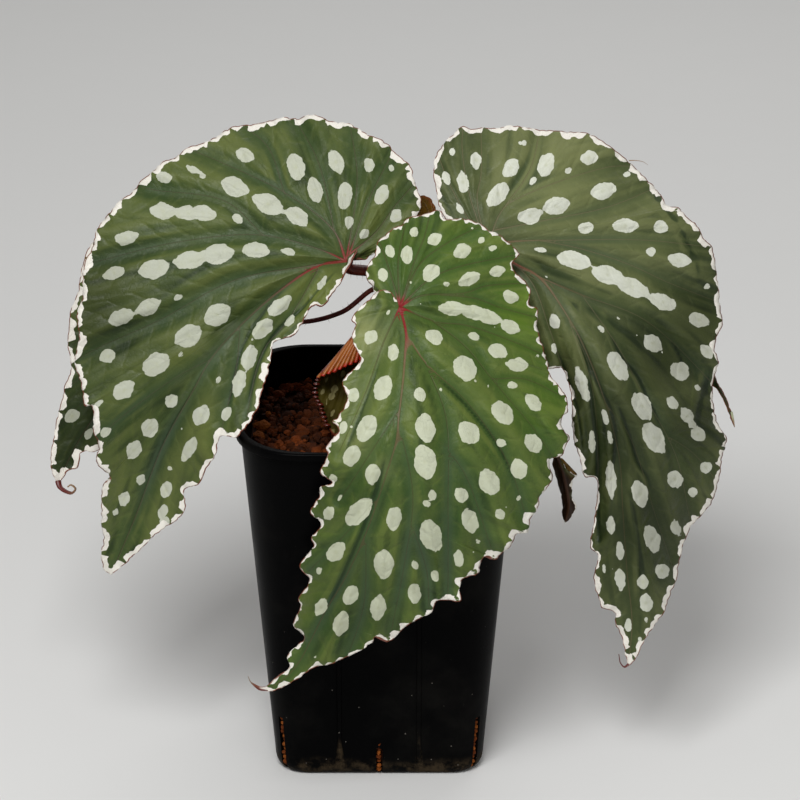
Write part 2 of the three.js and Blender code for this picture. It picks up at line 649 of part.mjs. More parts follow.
// ---- the young folded leaf ----
// Rows run from its lower margin up to the fold, and down again in front as a flap that shows its
// underside.
const YOUNG_LEAF = {
  lower: [[372, 430], [350, 431], [335, 430], [327, 419], [321, 402], [318, 386]],
  fold: [[370, 320], [354, 336], [345, 346], [336, 357], [327, 367], [319, 377]],
  flap: [[374, 350], [361, 357], [352, 362], [342, 370], [331, 374], [321, 380]],
  backHeights: [14, 14.5, 14.5, 15.5],
  foldHeight: 18.5,
  flapHeights: [21.5, 23, 24],
  ripple: 0.7,
};

function makeYoungLeaf() {
  const { lower, fold, flap, backHeights, foldHeight, flapHeights, ripple } = YOUNG_LEAF;
  const blend = (from, to, share) => [0, 1].map((k) => THREE.MathUtils.lerp(from[k], to[k], share));
  const steps = 3 * (lower.length - 1);
  const along = (line, u) => {
    const place = Math.min(u * (line.length - 1), line.length - 1.0001);
    return blend(line[Math.floor(place)], line[Math.floor(place) + 1], place % 1);
  };
  const points = [];
  let rows = 0;
  for (let i = 0; i <= steps; i++) {
    const u = i / steps;
    const [low, top, front] = [lower, fold, flap].map((line) => along(line, u));
    const wave = ripple * (i % 2 ? 1 : -1);
    const column = [
      ...backHeights.map((h, k) => [...blend(low, top, 0.93 * (k / (backHeights.length - 1))), h + wave * 0.5]),
      [...top, foldHeight],
      ...flapHeights.map((h, k) => [...blend(top, front, 0.12 + 0.88 * (k / (flapHeights.length - 1))),
        h + wave * (k / 2)]),
    ];
    rows = column.length;
    points.push(...column.map(onSheet));
  }
  const triangles = [];
  for (let i = 0; i < steps; i++) {
    for (let row = 0; row < rows - 1; row++) {
      const a = i * rows + row;
      triangles.push([a, a + rows + 1, a + 1], [a, a + rows, a + rows + 1]);
    }
  }
  const rim = [];
  for (let row = 0; row < rows - 1; row++) rim.push(row);
  for (let i = 0; i < steps; i++) rim.push(i * rows + rows - 1);
  for (let row = rows - 1; row > 0; row--) rim.push(steps * rows + row);
  for (let i = steps; i > 0; i--) rim.push(i * rows);
  const { geometry } = thicken({ points, triangles, rim }, BLADE);
  const root = onSheet([364, 392, 14]);
  stalkEnds.leaf_young = [BLADE + 8, BLADE + 0.2].map((depth) => root.clone().addScaledVector(SHEET_OUT, -depth));
  addPiece('leaf_young', geometry, LEAF_YOUNG);
}

// ---- stem and leaf stalks ----
// Each stalk rises from the stem through the sheet points given and ends square to its blade.
const STALKS = {
  leaf_left: { radius: 2.3, root: [-2, 2], by: [[377, 350, -8], [370, 292, -3]] },
  leaf_centre: { radius: 2.4, root: [1, -2.5], by: [[392, 372, 8], [396, 325, 26]] },
  leaf_right: { radius: 2.3, root: [2.6, 0.5], by: [[405, 360, -10], [450, 280, -6]] },
  leaf_back_left: { radius: 1, root: [-3.4, 0.5], by: [[383, 330, -16], [377, 289, -13], [342, 312, -15], [300, 322, -19]] },
  leaf_back_right: { radius: 1.3, root: [2.4, 2.6], by: [[430, 350, -26], [520, 268, -34], [600, 246, -38]] },
  leaf_back_middle: { radius: 1.8, root: [0, 3], by: [[400, 365, -17], [424, 290, -14]] },
  leaf_small: { radius: 0.9, root: [3.4, -2], by: [[420, 385, 2], [480, 345, 8], [530, 385, 10]] },
  leaf_young: { radius: 1.3, root: [-2.4, -2.4], by: [[378, 408, -4]] },
};
const STALK_SIDES = 8;

function makeStalk(name) {
  const { radius, root, by } = STALKS[name];
  const foot = new THREE.Vector3(STEM_PLACE.x + root[0], STEM_PLACE.y + root[1], FILL_EDGE - 4);
  const rise = foot.clone().setZ(FILL_EDGE + 10);
  const [before, end] = stalkEnds[name];
  const path = new THREE.CatmullRomCurve3([foot, rise, ...by.map(onSheet), before, end], false, 'centripetal');
  const section = new THREE.Shape(Array.from({ length: STALK_SIDES }, (_, i) => {
    const angle = (i / STALK_SIDES) * 2 * Math.PI;
    return new THREE.Vector2(radius * Math.cos(angle), radius * Math.sin(angle));
  }));
  return toSolid(new THREE.ExtrudeGeometry(section, {
    steps: Math.max(8, Math.round(path.getLength() / 8)),
    extrudePath: path,
    bevelEnabled: false,
  }));
}

const STIPULES = [[-6, -5, 16], [8, -4, 13], [-7, 6, 14], [7, 8, 12]]; // x, y from the stem, height

function makeStem() {
  const base = new THREE.CylinderGeometry(STEM_RADIUS - 1.5, STEM_RADIUS, STEM_DEPTH + 12, 12);
  base.rotateX(Math.PI / 2);
  base.translate(STEM_PLACE.x, STEM_PLACE.y, FILL_EDGE - STEM_DEPTH + (STEM_DEPTH + 12) / 2);
  const stipules = STIPULES.map(([x, y, height]) => {
    const bract = new THREE.ConeGeometry(3.2, height, 6);
    bract.rotateX(Math.PI / 2);
    bract.scale(1, 0.5, 1);
    bract.rotateZ(Math.atan2(y, x) + Math.PI / 2);
    const place = new THREE.Vector2(x, y).setLength(4.2);
    bract.translate(STEM_PLACE.x + place.x, STEM_PLACE.y + place.y, FILL_EDGE + 7 + height / 2);
    return toSolid(bract);
  });
  const stalks = Object.keys(STALKS).map(makeStalk);
  return fromSolid(fuse([toSolid(base), ...stipules, ...stalks]));
}

addPiece('pot', makePot(), PLASTIC);
addPiece('clay_granules', makeGranules(), CLAY);
for (const name of Object.keys(LEAVES)) makeLeaf(name);
makeYoungLeaf();
addPiece('stem', makeStem(), STALK);

export default plant;
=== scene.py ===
import math
import random

import bmesh
import bpy
import numpy as np
from mathutils import Matrix, Vector, noise


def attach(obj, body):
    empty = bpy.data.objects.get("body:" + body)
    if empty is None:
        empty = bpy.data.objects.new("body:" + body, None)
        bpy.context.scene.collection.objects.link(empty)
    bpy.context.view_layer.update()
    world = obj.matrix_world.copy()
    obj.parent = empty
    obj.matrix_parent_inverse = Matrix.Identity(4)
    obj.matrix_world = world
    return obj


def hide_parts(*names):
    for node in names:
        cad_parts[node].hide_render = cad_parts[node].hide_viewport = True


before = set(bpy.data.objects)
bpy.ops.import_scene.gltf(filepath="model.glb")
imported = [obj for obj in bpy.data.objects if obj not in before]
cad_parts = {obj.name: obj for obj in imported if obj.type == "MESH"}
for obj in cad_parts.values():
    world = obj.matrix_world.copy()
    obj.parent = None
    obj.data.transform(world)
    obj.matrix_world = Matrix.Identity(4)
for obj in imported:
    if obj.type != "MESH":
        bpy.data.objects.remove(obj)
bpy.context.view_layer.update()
MM = 0.001

# ---------------------------------------------------------------- sizes, in mm
POT_HEIGHT = 140.0
RIM_HALF = 52.5
RIM_BAND = 3.0
RIM_STEP = 1.5
WALL_TOP_HALF = RIM_HALF - RIM_STEP
FOOT_HALF = 39.8
FOOT_HEIGHT = 6.0
FOOT_ROUND = 3.0
WALL_THICK = 1.3
FLOOR_THICK = 2.2
CORNER_TOP = 25.0
CORNER_FOOT = 11.0
CORNER_INSET = CORNER_FOOT * 0.3  # how far a rounded corner lies inside the sharp one
RIB_OFFSET = 15.0
RIB_WIDTH = 1.4
RIB_EDGE = 0.25
RIB_END = 0.9
RIB_PROUD = 0.6
SLIT_WIDTH = 2.4
CORNER_SLIT_HEIGHT = 24.0
CORNER_SLIT_DEPTH = 4.5
FACE_SLIT_HEIGHT = 12.0
FACE_SLIT_DEPTH = 3.0
FILL_GAP = 0.35
FILL_EDGE = 126.0
FILL_MOUND = 3.5
STEM_PLACE = Vector((2.0, 2.0))
STEM_DEPTH_SHOWN = 8.0
STEM_HALF = 5.9
STEM_TOP = FILL_EDGE + 12

# ---------------------------------------------------------------- the drawing sheet
# Leaves and stalks are drawn on a sheet that faces the front and leans back, seen by an eye 1.2 m away.
# x runs right and y runs down in units of 0.375 mm; the third number is the height above the sheet in mm.
SHEET_UNIT = 0.375
SHEET_LEAN = math.radians(23.45)
SHEET_EYE = 1200.0
SHEET_AXIS = (400.0, 400.0)
SHEET_RIM_CENTRE = (379.0, 397.0)
SHEET_UP = np.array([0.0, math.sin(SHEET_LEAN), math.cos(SHEET_LEAN)])
SHEET_OUT = np.array([0.0, -math.cos(SHEET_LEAN), math.sin(SHEET_LEAN)])
SHEET_WIDTH = 800  # the whole sheet, which the camera frames


def on_sheet(points):
    """Sheet points (x, y, height) to places in metres."""
    p = np.atleast_2d(np.asarray(points, float))
    shrink = SHEET_UNIT * (1 - p[:, 2] / SHEET_EYE)
    right = (p[:, 0] - SHEET_AXIS[0]) * shrink + (SHEET_AXIS[0] - SHEET_RIM_CENTRE[0]) * SHEET_UNIT
    up = (SHEET_AXIS[1] - p[:, 1]) * shrink - (SHEET_AXIS[1] - SHEET_RIM_CENTRE[1]) * SHEET_UNIT
    place = np.outer(up, SHEET_UP) + np.outer(p[:, 2], SHEET_OUT)
    place[:, 0] += right
    place[:, 2] += POT_HEIGHT
    return place * MM


def make_camera():
    data = bpy.data.cameras.new("camera")
    data.sensor_width = 36.0
    data.lens = data.sensor_width * (SHEET_EYE / SHEET_UNIT) / SHEET_WIDTH
    data.clip_end = 20.0
    camera = bpy.data.objects.new("camera", data)
    bpy.context.scene.collection.objects.link(camera)
    camera.location = on_sheet([[*SHEET_AXIS, SHEET_EYE]])[0]
    camera.rotation_euler = (math.pi / 2 - SHEET_LEAN, 0, 0)
    bpy.context.scene.camera = camera


# ---------------------------------------------------------------- node helpers
def link(tree, start, end):
    tree.links.new(start, end)


def add_node(tree, kind, **settings):
    node = tree.nodes.new(kind)
    for name, value in settings.items():
        if name.startswith("in_"):
            node.inputs[name[3:].replace("_", " ")].default_value = value
        else:
            setattr(node, name, value)
    return node


def feed(tree, value, socket):
    """A number, a colour or another node's output into a socket."""
    if isinstance(value, bpy.types.NodeSocket):
        link(tree, value, socket)
    else:
        socket.default_value = value


def maths(tree, operation, a, b=0.0, c=0.0):
    node = add_node(tree, "ShaderNodeMath", operation=operation)
    for value, socket in zip((a, b, c), node.inputs):
        feed(tree, value, socket)
    return node.outputs[0]


def ramp_up(tree, value, low, high, to_low=0.0, to_high=1.0):
    """A smooth step from to_low at low to to_high at high."""
    node = add_node(tree, "ShaderNodeMapRange", interpolation_type="SMOOTHSTEP")
    for given, name in ((value, "Value"), (low, "From Min"), (high, "From Max"),
                        (to_low, "To Min"), (to_high, "To Max")):
        feed(tree, given, node.inputs[name])
    return node.outputs[0]


def mix_colour(tree, share, a, b, blend="MIX"):
    node = add_node(tree, "ShaderNodeMix", data_type="RGBA", blend_type=blend)
    feed(tree, share, node.inputs["Factor"])
    feed(tree, a, node.inputs["A"])
    feed(tree, b, node.inputs["B"])
    return node.outputs["Result"]


def noise_at(tree, place, scale, detail=3.0, rough=0.5):
    node = add_node(tree, "ShaderNodeTexNoise", in_Scale=scale, in_Detail=detail, in_Roughness=rough)
    link(tree, place, node.inputs["Vector"])
    return node.outputs[0]


def cells_at(tree, place, scale, feature="F1"):
    """A pattern of cells: distance from their middles, or to their edges, and a colour for each."""
    node = add_node(tree, "ShaderNodeTexVoronoi", feature=feature, in_Scale=scale)
    link(tree, place, node.inputs["Vector"])
    return node.outputs


def cell_chance(tree, cells):
    """A random number from 0 to 1 for each cell."""
    split = add_node(tree, "ShaderNodeSeparateColor")
    link(tree, cells["Color"], split.inputs[0])
    return split.outputs[0]


def attribute(tree, name):
    return add_node(tree, "ShaderNodeAttribute", attribute_name=name).outputs["Fac"]


def new_group(name, inputs, outputs):
    tree = bpy.data.node_groups.new(name, "ShaderNodeTree")
    for way, sockets in (("INPUT", inputs), ("OUTPUT", outputs)):
        for label, kind in sockets.items():
            tree.interface.new_socket(label, in_out=way, socket_type=kind)
    return tree, tree.nodes.new("NodeGroupInput"), tree.nodes.new("NodeGroupOutput")


def use_group(tree, group, **values):
    node = tree.nodes.new("ShaderNodeGroup")
    node.node_tree = group
    for name, value in values.items():
        feed(tree, value, node.inputs[name.replace("_", " ")])
    return node.outputs


def new_material(name, **sockets):
    material = bpy.data.materials.new(name)
    material.use_nodes = True
    tree = material.node_tree
    shader = tree.nodes["Principled BSDF"]
    for label, value in sockets.items():
        shader.inputs[label.replace("_", " ")].default_value = value
    place = tree.nodes.new("ShaderNodeTexCoord").outputs["Object"]
    return material, tree, shader, place


def add_bump(tree, shader, height, strength, distance):
    bump = add_node(tree, "ShaderNodeBump", in_Strength=strength, in_Distance=distance)
    link(tree, height, bump.inputs["Height"])
    link(tree, bump.outputs[0], shader.inputs["Normal"])


# ---------------------------------------------------------------- pieces
def new_grid(bm, columns, rows):
    """A grid's vertices, each with its column and row."""
    made = bmesh.ops.create_grid(bm, x_segments=columns, y_segments=rows, size=1)["verts"]
    return [(vert, round((vert.co.x + 1) / 2 * columns), round((vert.co.y + 1) / 2 * rows)) for vert in made]


def add_object(mesh, name, node=None):
    """Links a finished mesh that rides on the body, in place of a node where one is named."""
    piece = bpy.data.objects.new(name, mesh)
    bpy.context.scene.collection.objects.link(piece)
    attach(piece, "root")
    if node:
        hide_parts(node)
    return piece


def finish_mesh(bm, name, material, node=None, smooth_faces=True):
    mesh = bpy.data.meshes.new(name)
    for face in bm.faces:
        face.smooth = smooth_faces
    bm.to_mesh(mesh)
    bm.free()
    mesh.materials.append(material)
    return add_object(mesh, name, node)


def turn_outwards(mesh, faces, outward):
    """Flips a sheet whose faces look away from the outward direction."""
    area = np.zeros(3)
    for face in faces:
        area += np.array(face.normal) * face.area
    if area @ outward < 0:
        mesh.flip_normals()


def keep_fields(mesh, fields):
    """Keeps what the looks depend on, as one number at each point."""
    for label, values in fields.items():
        mesh.attributes.new(label, "FLOAT", "POINT").data.foreach_set("value", values.astype(np.float32))


def thicken(piece, thickness, offset=-1, **settings):
    solid = piece.modifiers.new("thickness", "SOLIDIFY")
    solid.thickness = thickness * MM
    solid.offset = offset
    for name, value in settings.items():
        setattr(solid, name, value)


# ---------------------------------------------------------------- leaf materials
MARGIN_WHITE = (0.76, 0.73, 0.66, 1)
EDGE_BROWN = (0.17, 0.040, 0.016, 1)
SPOT_CREAM = (0.40, 0.42, 0.25, 1)
PALE_GREEN_AND_SHEEN = (0.26, 0.28, 0.11, 1)
COOL_VEIN_SHADE = (0.050, 0.082, 0.046, 1)
SHADED = (0.21, 0.25, 0.15, 1)
SHADED_WHITE = (0.60, 0.60, 0.58, 1)
FOLD_PAINTED_SHADE = (0.36, 0.44, 0.42, 1)
BLADE_LOOKS = {
    "dark": dict(
        deep=(0.034, 0.060, 0.014, 1), mid=(0.066, 0.092, 0.024, 1), light=(0.110, 0.134, 0.034, 1),
        fresh=(0.17, 0.20, 0.036, 1), white=(0.48, 0.50, 0.41, 1), red=(0.20, 0.030, 0.022, 1),
        rib=(0.125, 0.078, 0.058, 1), dry=(0.082, 0.064, 0.040, 1)),
    "bright": dict(
        deep=(0.034, 0.074, 0.012, 1), mid=(0.072, 0.114, 0.022, 1), light=(0.120, 0.160, 0.032, 1),
        fresh=(0.13, 0.22, 0.016, 1), white=(0.53, 0.56, 0.42, 1), red=(0.20, 0.010, 0.010, 1),
        rib=(0.19, 0.085, 0.055, 1), dry=(0.070, 0.052, 0.022, 1)),
    "grey": dict(
        deep=(0.042, 0.060, 0.018, 1), mid=(0.082, 0.102, 0.034, 1), light=(0.135, 0.152, 0.058, 1),
        fresh=(0.18, 0.21, 0.05, 1), white=(0.62, 0.64, 0.55, 1), red=(0.23, 0.070, 0.045, 1),
        rib=(0.185, 0.100, 0.060, 1), dry=(0.150, 0.125, 0.070, 1)),
    "brown": dict(
        deep=(0.016, 0.007, 0.003, 1), mid=(0.036, 0.017, 0.006, 1), light=(0.060, 0.032, 0.012, 1),
        fresh=(0.15, 0.18, 0.06, 1), white=(0.42, 0.42, 0.33, 1), red=(0.040, 0.014, 0.005, 1),
        rib=(0.036, 0.016, 0.006, 1), dry=(0.036, 0.016, 0.006, 1)),
}
RED_UNDERSIDE = dict(
    dark=(0.085, 0.010, 0.010, 1), bright=(0.20, 0.030, 0.020, 1), spotted=(0.30, 0.13, 0.085, 1))
OLIVE_UNDERSIDE = dict(
    dark=(0.090, 0.046, 0.001, 1), bright=(0.15, 0.076, 0.002, 1), spotted=(0.20, 0.045, 0.012, 1))
STALK_DARK = (0.11, 0.014, 0.012, 1)
STALK_RED = (0.23, 0.048, 0.024, 1)
STALK_FLECK = (0.42, 0.22, 0.14, 1)
FLECK_STRETCH = (900, 900, 160)
PLEAT_SHADED_RED = (0.13, 0.012, 0.004, 1)
PLEAT_LIT_ORANGE = (0.33, 0.105, 0.018, 1)
PLEAT_SPECK = (0.22, 0.035, 0.008, 1)
PLEAT_EDGE = (0.34, 0.016, 0.005, 1)
YOUNG_SHADED_DARK = (0.026, 0.018, 0.002, 1)
YOUNG_SHADED_GREEN = (0.062, 0.050, 0.007, 1)
YOUNG_SHADED_SPOT = (0.20, 0.175, 0.075, 1)
YOUNG_EDGE = (0.14, 0.025, 0.012, 1)
YOUNG_TEETH = (0.085, 0.010, 0.005, 1)


def make_markings_group():
    """Where a blade is spotted, white at its margin, veined or dotted, and its fine relief."""
    marks = ("White", "Margin", "Vein", "Side vein", "Heart", "Relief", "Net")
    tree, given, out = new_group(
        "blade markings", {"Place": "NodeSocketVector"}, dict.fromkeys(marks, "NodeSocketFloat"))
    place = given.outputs["Place"]
    wobble = maths(tree, "SUBTRACT", noise_at(tree, place, 300, 1.5), 0.5)
    cells = cells_at(tree, place, 900.0)
    jagged = maths(tree, "SUBTRACT", cell_chance(tree, cells), 0.5)
    uneven = maths(tree, "MULTIPLY_ADD", wobble, 1.7, maths(tree, "MULTIPLY", jagged, 0.16))

    spot = maths(tree, "ADD", attribute(tree, "spot"), uneven)
    spots = ramp_up(tree, spot, -0.05, 0.09)
    dots = cells_at(tree, place, 112.0)
    dot_size = ramp_up(tree, cell_chance(tree, dots), 0.5, 1.0, 0.0, 0.062)
    dot = maths(tree, "LESS_THAN", dots["Distance"], dot_size)
    link(tree, maths(tree, "MAXIMUM", spots, dot), out.inputs["White"])

    vein = attribute(tree, "vein")
    reach = maths(tree, "ADD", attribute(tree, "margin"), maths(tree, "MULTIPLY", uneven, 0.9))
    link(tree, ramp_up(tree, reach, -0.05, 0.09), out.inputs["Margin"])

    wide = attribute(tree, "vein_width")
    off_vein = maths(tree, "ABSOLUTE", attribute(tree, "off_vein"))
    line = ramp_up(tree, off_vein, wide, maths(tree, "MULTIPLY", wide, 0.35))
    line = maths(tree, "MULTIPLY", line, ramp_up(tree, vein, 1.6, 1.0))
    link(tree, line, out.inputs["Vein"])
    link(tree, ramp_up(tree, attribute(tree, "middle"), 1.2, 0.1), out.inputs["Heart"])

    run = maths(tree, "ADD", attribute(tree, "side_vein"), maths(tree, "MULTIPLY", wobble, 0.35))
    saw = maths(tree, "ABSOLUTE", maths(tree, "SUBTRACT", maths(tree, "FRACT", run), 0.5))
    side = ramp_up(tree, saw, 0.34, 0.5)
    side = maths(tree, "MULTIPLY", side, ramp_up(tree, attribute(tree, "crest"), 0.02, 0.3))
    link(tree, side, out.inputs["Side vein"])
    net = ramp_up(tree, cells_at(tree, place, 420.0, "DISTANCE_TO_EDGE")["Distance"], 0.07, 0.0)
    link(tree, net, out.inputs["Net"])

    relief = maths(tree, "MULTIPLY", cells["Distance"], -0.25)
    relief = maths(tree, "SUBTRACT", relief, maths(tree, "MULTIPLY", line, 0.8))
    relief = maths(tree, "SUBTRACT", relief, maths(tree, "MULTIPLY", side, 0.6))
    relief = maths(tree, "SUBTRACT", relief, maths(tree, "MULTIPLY", net, 0.2))
    relief = maths(tree, "ADD", relief, maths(tree, "MULTIPLY", noise_at(tree, place, 260, 4.0), 0.9))
    link(tree, relief, out.inputs["Relief"])
    return tree


def make_blade_material(name, markings, deep, mid, light, fresh, white, red, rib, dry):
    """The upper face of a blade."""
    material, tree, shader, place = new_material(name, Specular_IOR_Level=0.22)
    marks = use_group(tree, markings, Place=place)
    crest = attribute(tree, "crest")
    flush = attribute(tree, "flush")
    tone = ramp_up(tree, noise_at(tree, place, 40, 5.0, 0.62), 0.32, 0.7)
    green = mix_colour(tree, tone, deep, mid)
    # lighter olive on the pleats between the veins: in part the blade's own colour, in part painted light on
    # the raised crests
    crest_light = ramp_up(tree, crest, 0.35, 1.0)
    cloud = ramp_up(tree, noise_at(tree, place, 28, 2.0), 0.35, 0.65, 0.2, 0.85)
    crest_light = maths(tree, "MULTIPLY", crest_light, cloud)
    green = mix_colour(tree, crest_light, green, light)
    green = mix_colour(tree, attribute(tree, "glow"), green, fresh)
    mottle = noise_at(tree, place, 230, 4.0, 0.65)
    green = mix_colour(tree, ramp_up(tree, mottle, 0.4, 0.75, 0.0, 0.3), green, light)
    # darker green beside the veins: painted shade in the sunken grooves
    green = mix_colour(tree, ramp_up(tree, crest, 0.22, 0.0, 0.0, 0.45), green, deep)
    green = mix_colour(tree, maths(tree, "MULTIPLY", marks["Net"], 0.10), green, deep)
    green = mix_colour(tree, maths(tree, "MULTIPLY", marks["Side vein"], 0.22), green, light)
    # pale places: a painted sheen on the right leaf's upper part, a paler green elsewhere
    green = mix_colour(tree, attribute(tree, "pale"), green, PALE_GREEN_AND_SHEEN)
    # cool places: bluish painted shade in the sunken grooves beside the veins
    green = mix_colour(tree, attribute(tree, "cool"), green, COOL_VEIN_SHADE)
    # folds: painted shade in each crease, and a painted highlight on the ridge beside it
    fold_depth_and_painted_light = attribute(tree, "fold_depth_and_painted_light")
    green = mix_colour(tree, ramp_up(tree, fold_depth_and_painted_light, 0.05, 0.8, 0.0, 1.0), green, FOLD_PAINTED_SHADE, "MULTIPLY")
    green = mix_colour(tree, ramp_up(tree, fold_depth_and_painted_light, -0.05, -0.7, 0.0, 0.7), green, light)
    vein_colour = mix_colour(tree, attribute(tree, "strong"), dry, rib)
    vein_colour = mix_colour(tree, ramp_up(tree, flush, 0.12, 0.6), vein_colour, red)
    vein_share = maths(tree, "MULTIPLY", marks["Vein"], ramp_up(tree, flush, 0.0, 0.5, 0.5, 1.0))
    green = mix_colour(tree, vein_share, green, vein_colour)
    shade = attribute(tree, "shade")
    green = mix_colour(tree, shade, green, SHADED, "MULTIPLY")
    spot = mix_colour(tree, ramp_up(tree, mottle, 0.35, 0.8, 0.0, 0.30), white, SPOT_CREAM)
    spot = mix_colour(tree, maths(tree, "MULTIPLY", marks["Heart"], 0.4), spot, SPOT_CREAM)
    spot = mix_colour(tree, shade, spot, SHADED_WHITE, "MULTIPLY")
    colour = mix_colour(tree, marks["White"], green, spot)
    colour = mix_colour(tree, marks["Margin"], colour, MARGIN_WHITE)
    rim = ramp_up(tree, attribute(tree, "edge"), 0.42, 0.16)
    rim = maths(tree, "MULTIPLY", rim, ramp_up(tree, noise_at(tree, place, 260, 2.0), 0.36, 0.52))
    colour = mix_colour(tree, rim, colour, EDGE_BROWN)
    link(tree, colour, shader.inputs["Base Color"])
    gloss = ramp_up(tree, noise_at(tree, place, 150, 3.0), 0.3, 0.7, 0.42, 0.55)
    gloss = maths(tree, "ADD", gloss, maths(tree, "MULTIPLY", marks["White"], 0.12))
    link(tree, gloss, shader.inputs["Roughness"])
    add_bump(tree, shader, marks["Relief"], 0.5, 0.00035)
    return material


def make_underside_material(name, dark, bright, spotted):
    """The underside of a blade, with its raised veins and pale net."""
    material, tree, shader, place = new_material(name, Specular_IOR_Level=0.28, Roughness=0.5)
    raised = ramp_up(tree, cells_at(tree, place, 300.0, "DISTANCE_TO_EDGE")["Distance"], 0.09, 0.0)
    tone = ramp_up(tree, noise_at(tree, place, 60, 4.0, 0.6), 0.3, 0.7)
    colour = mix_colour(tree, tone, dark, bright)
    near_vein = ramp_up(tree, attribute(tree, "vein"), 1.3, 0.3)
    colour = mix_colour(tree, maths(tree, "MULTIPLY", near_vein, 0.7), colour, bright)
    colour = mix_colour(tree, maths(tree, "MULTIPLY", raised, 0.3), colour, bright)
    spot = ramp_up(tree, attribute(tree, "spot"), -0.2, 0.3, 0.0, 0.35)
    colour = mix_colour(tree, spot, colour, spotted)
    edge = ramp_up(tree, attribute(tree, "edge"), 1.6, 0.3, 0.0, 0.5)
    colour = mix_colour(tree, edge, colour, spotted)
    link(tree, colour, shader.inputs["Base Color"])
    height = maths(tree, "ADD", raised, maths(tree, "MULTIPLY", noise_at(tree, place, 500, 3.0), 0.6))
    height = maths(tree, "MULTIPLY_ADD", near_vein, 3.0, height)
    add_bump(tree, shader, height, 0.6, 0.0004)
    return material


def make_stalk_material():
    """Red leaf stalks, with small pale flecks drawn out along them."""
    material, tree, shader, place = new_material("stalk skin", Roughness=0.42, Specular_IOR_Level=0.5)
    tone = ramp_up(tree, noise_at(tree, place, 90, 4.0, 0.6), 0.32, 0.7)
    colour = mix_colour(tree, tone, STALK_DARK, STALK_RED)
    spread = add_node(tree, "ShaderNodeMapping", in_Scale=FLECK_STRETCH)
    link(tree, place, spread.inputs["Vector"])
    streaks = noise_at(tree, spread.outputs[0], 1.0, 2.0)
    fleck = ramp_up(tree, streaks, 0.62, 0.70, 0.0, 0.55)
    colour = mix_colour(tree, fleck, colour, STALK_FLECK)
    link(tree, colour, shader.inputs["Base Color"])
    add_bump(tree, shader, streaks, 0.4, 0.0003)
    return material


def make_young_materials():
    """The folded young leaf: orange-red pleats outside, darker red in their grooves and orange on their
    crests as painted shade and painted highlight; dull spotted green inside, darkened in part with painted
    shade.
    """
    outside, tree, shader, place = new_material("young underside", Roughness=0.4, Specular_IOR_Level=0.35)
    crest = attribute(tree, "crest")
    # pleats: the leaf's own red, with painted shade in the grooves and a painted orange highlight on the
    # crests
    colour = mix_colour(tree, ramp_up(tree, crest, 0.2, 0.95), PLEAT_SHADED_RED, PLEAT_LIT_ORANGE)
    speck = ramp_up(tree, noise_at(tree, place, 420, 3.0), 0.4, 0.7, 0.0, 0.45)
    colour = mix_colour(tree, speck, colour, PLEAT_SPECK)
    edge = ramp_up(tree, attribute(tree, "edge"), 1.1, 0.3)
    colour = mix_colour(tree, edge, colour, PLEAT_EDGE)
    link(tree, colour, shader.inputs["Base Color"])
    add_bump(tree, shader, noise_at(tree, place, 700, 3.0), 0.5, 0.0003)

    inside, tree, shader, place = new_material("young upper side", Roughness=0.5, Specular_IOR_Level=0.05)
    # inside: dark olive with dull spots, its own colour darkened further with painted shade
    tone = ramp_up(tree, noise_at(tree, place, 130, 4.0), 0.3, 0.7)
    colour = mix_colour(tree, tone, YOUNG_SHADED_DARK, YOUNG_SHADED_GREEN)
    uneven = maths(tree, "SUBTRACT", noise_at(tree, place, 500, 2.0), 0.5)
    spot = ramp_up(tree, maths(tree, "ADD", attribute(tree, "spot"), uneven), -0.1, 0.15)
    colour = mix_colour(tree, spot, colour, YOUNG_SHADED_SPOT)
    edge = ramp_up(tree, attribute(tree, "edge"), 1.0, 0.2)
    colour = mix_colour(tree, edge, colour, YOUNG_EDGE)
    link(tree, colour, shader.inputs["Base Color"])
    add_bump(tree, shader, noise_at(tree, place, 700, 3.0), 0.5, 0.0003)
    return outside, inside


# ---------------------------------------------------------------- leaves
# A blade is drawn by its midrib, from the stalk to the tip, and its two margins, each from the tip back
# to the notch at the stalk. A margin starts with a share: up to it, spokes run to it from along the
# midrib, and past it they all start at the stalk. rib_columns, fan_columns and rows count its faces.
# drop: how late a blade falls on its way to the margin. tuck: how far a margin's end slips under the
# other lobe, in mm. pleat: how high it stands between its veins, in mm. tooth: the teeth, in mm.
# veins: sunken lines that pleat the blade; strong: those that look like the midrib near the stalk.
# spots: (x, y, length, width), drawn along the nearest vein.
# glow, pale, shade and cool: (x, y, reach, strength) of places that are fresh green; pale, which on the right
# leaf is a painted sheen; in painted shade; or in bluish painted shade beside their sunken veins.
# folds: (strength, width in mm, line) of the small folds beside the veins; each is sunk and painted with
# shade, with a raised ridge beside it painted lighter.
# margin: how far the white runs in, in mm; patch: how long its runs are; white_share: (x, y, reach,
# share) of places where it is wider or narrower; rimless: mm added to the brown rim's distance.
# flush: how far red runs up the midrib, in mm; rib_fade: where the midrib's own colour ends, in mm.
# look: its colours; faces_back: it turns its underside to the front.
PLEAT_REACH = 7.0
PLEAT_SHOWN = 1.25
OWN_EDGE_REACH = 30.0
BLADE_SHOWN = 0.45
ROW_CROWDING = 0.85
TOOTH_STEP = 9.0
TOOTH_RISE = 2.0
TOOTH_FALL = 5.0
TOOTH_FADE = (10, 14)  # at the tip and at the notch
SPOT_SQUARENESS = 1.75
SPOT_FAR = 4.0  # stands for a place with no spot near
HEART_FAR = 9.0
HEART_WIDTH = 10.0  # only spots wider than this have a darker heart
VEIN_FINE = 0.22
VEIN_BROAD = 0.75
VEIN_TAPER = 26.0
RIB_TAPER = 2.2  # the midrib's taper, times a vein's
SIDE_SHARE = 0.72  # a vein's width, as a share of the midrib's
STRONG_SHARE = 0.95
STRONG_FADE = (9, 30)
RIB_FADED = 0.8
NO_FADE = (150, 200)
FLUSH_REACH = 22.0
SIDE_FLUSH = 0.3
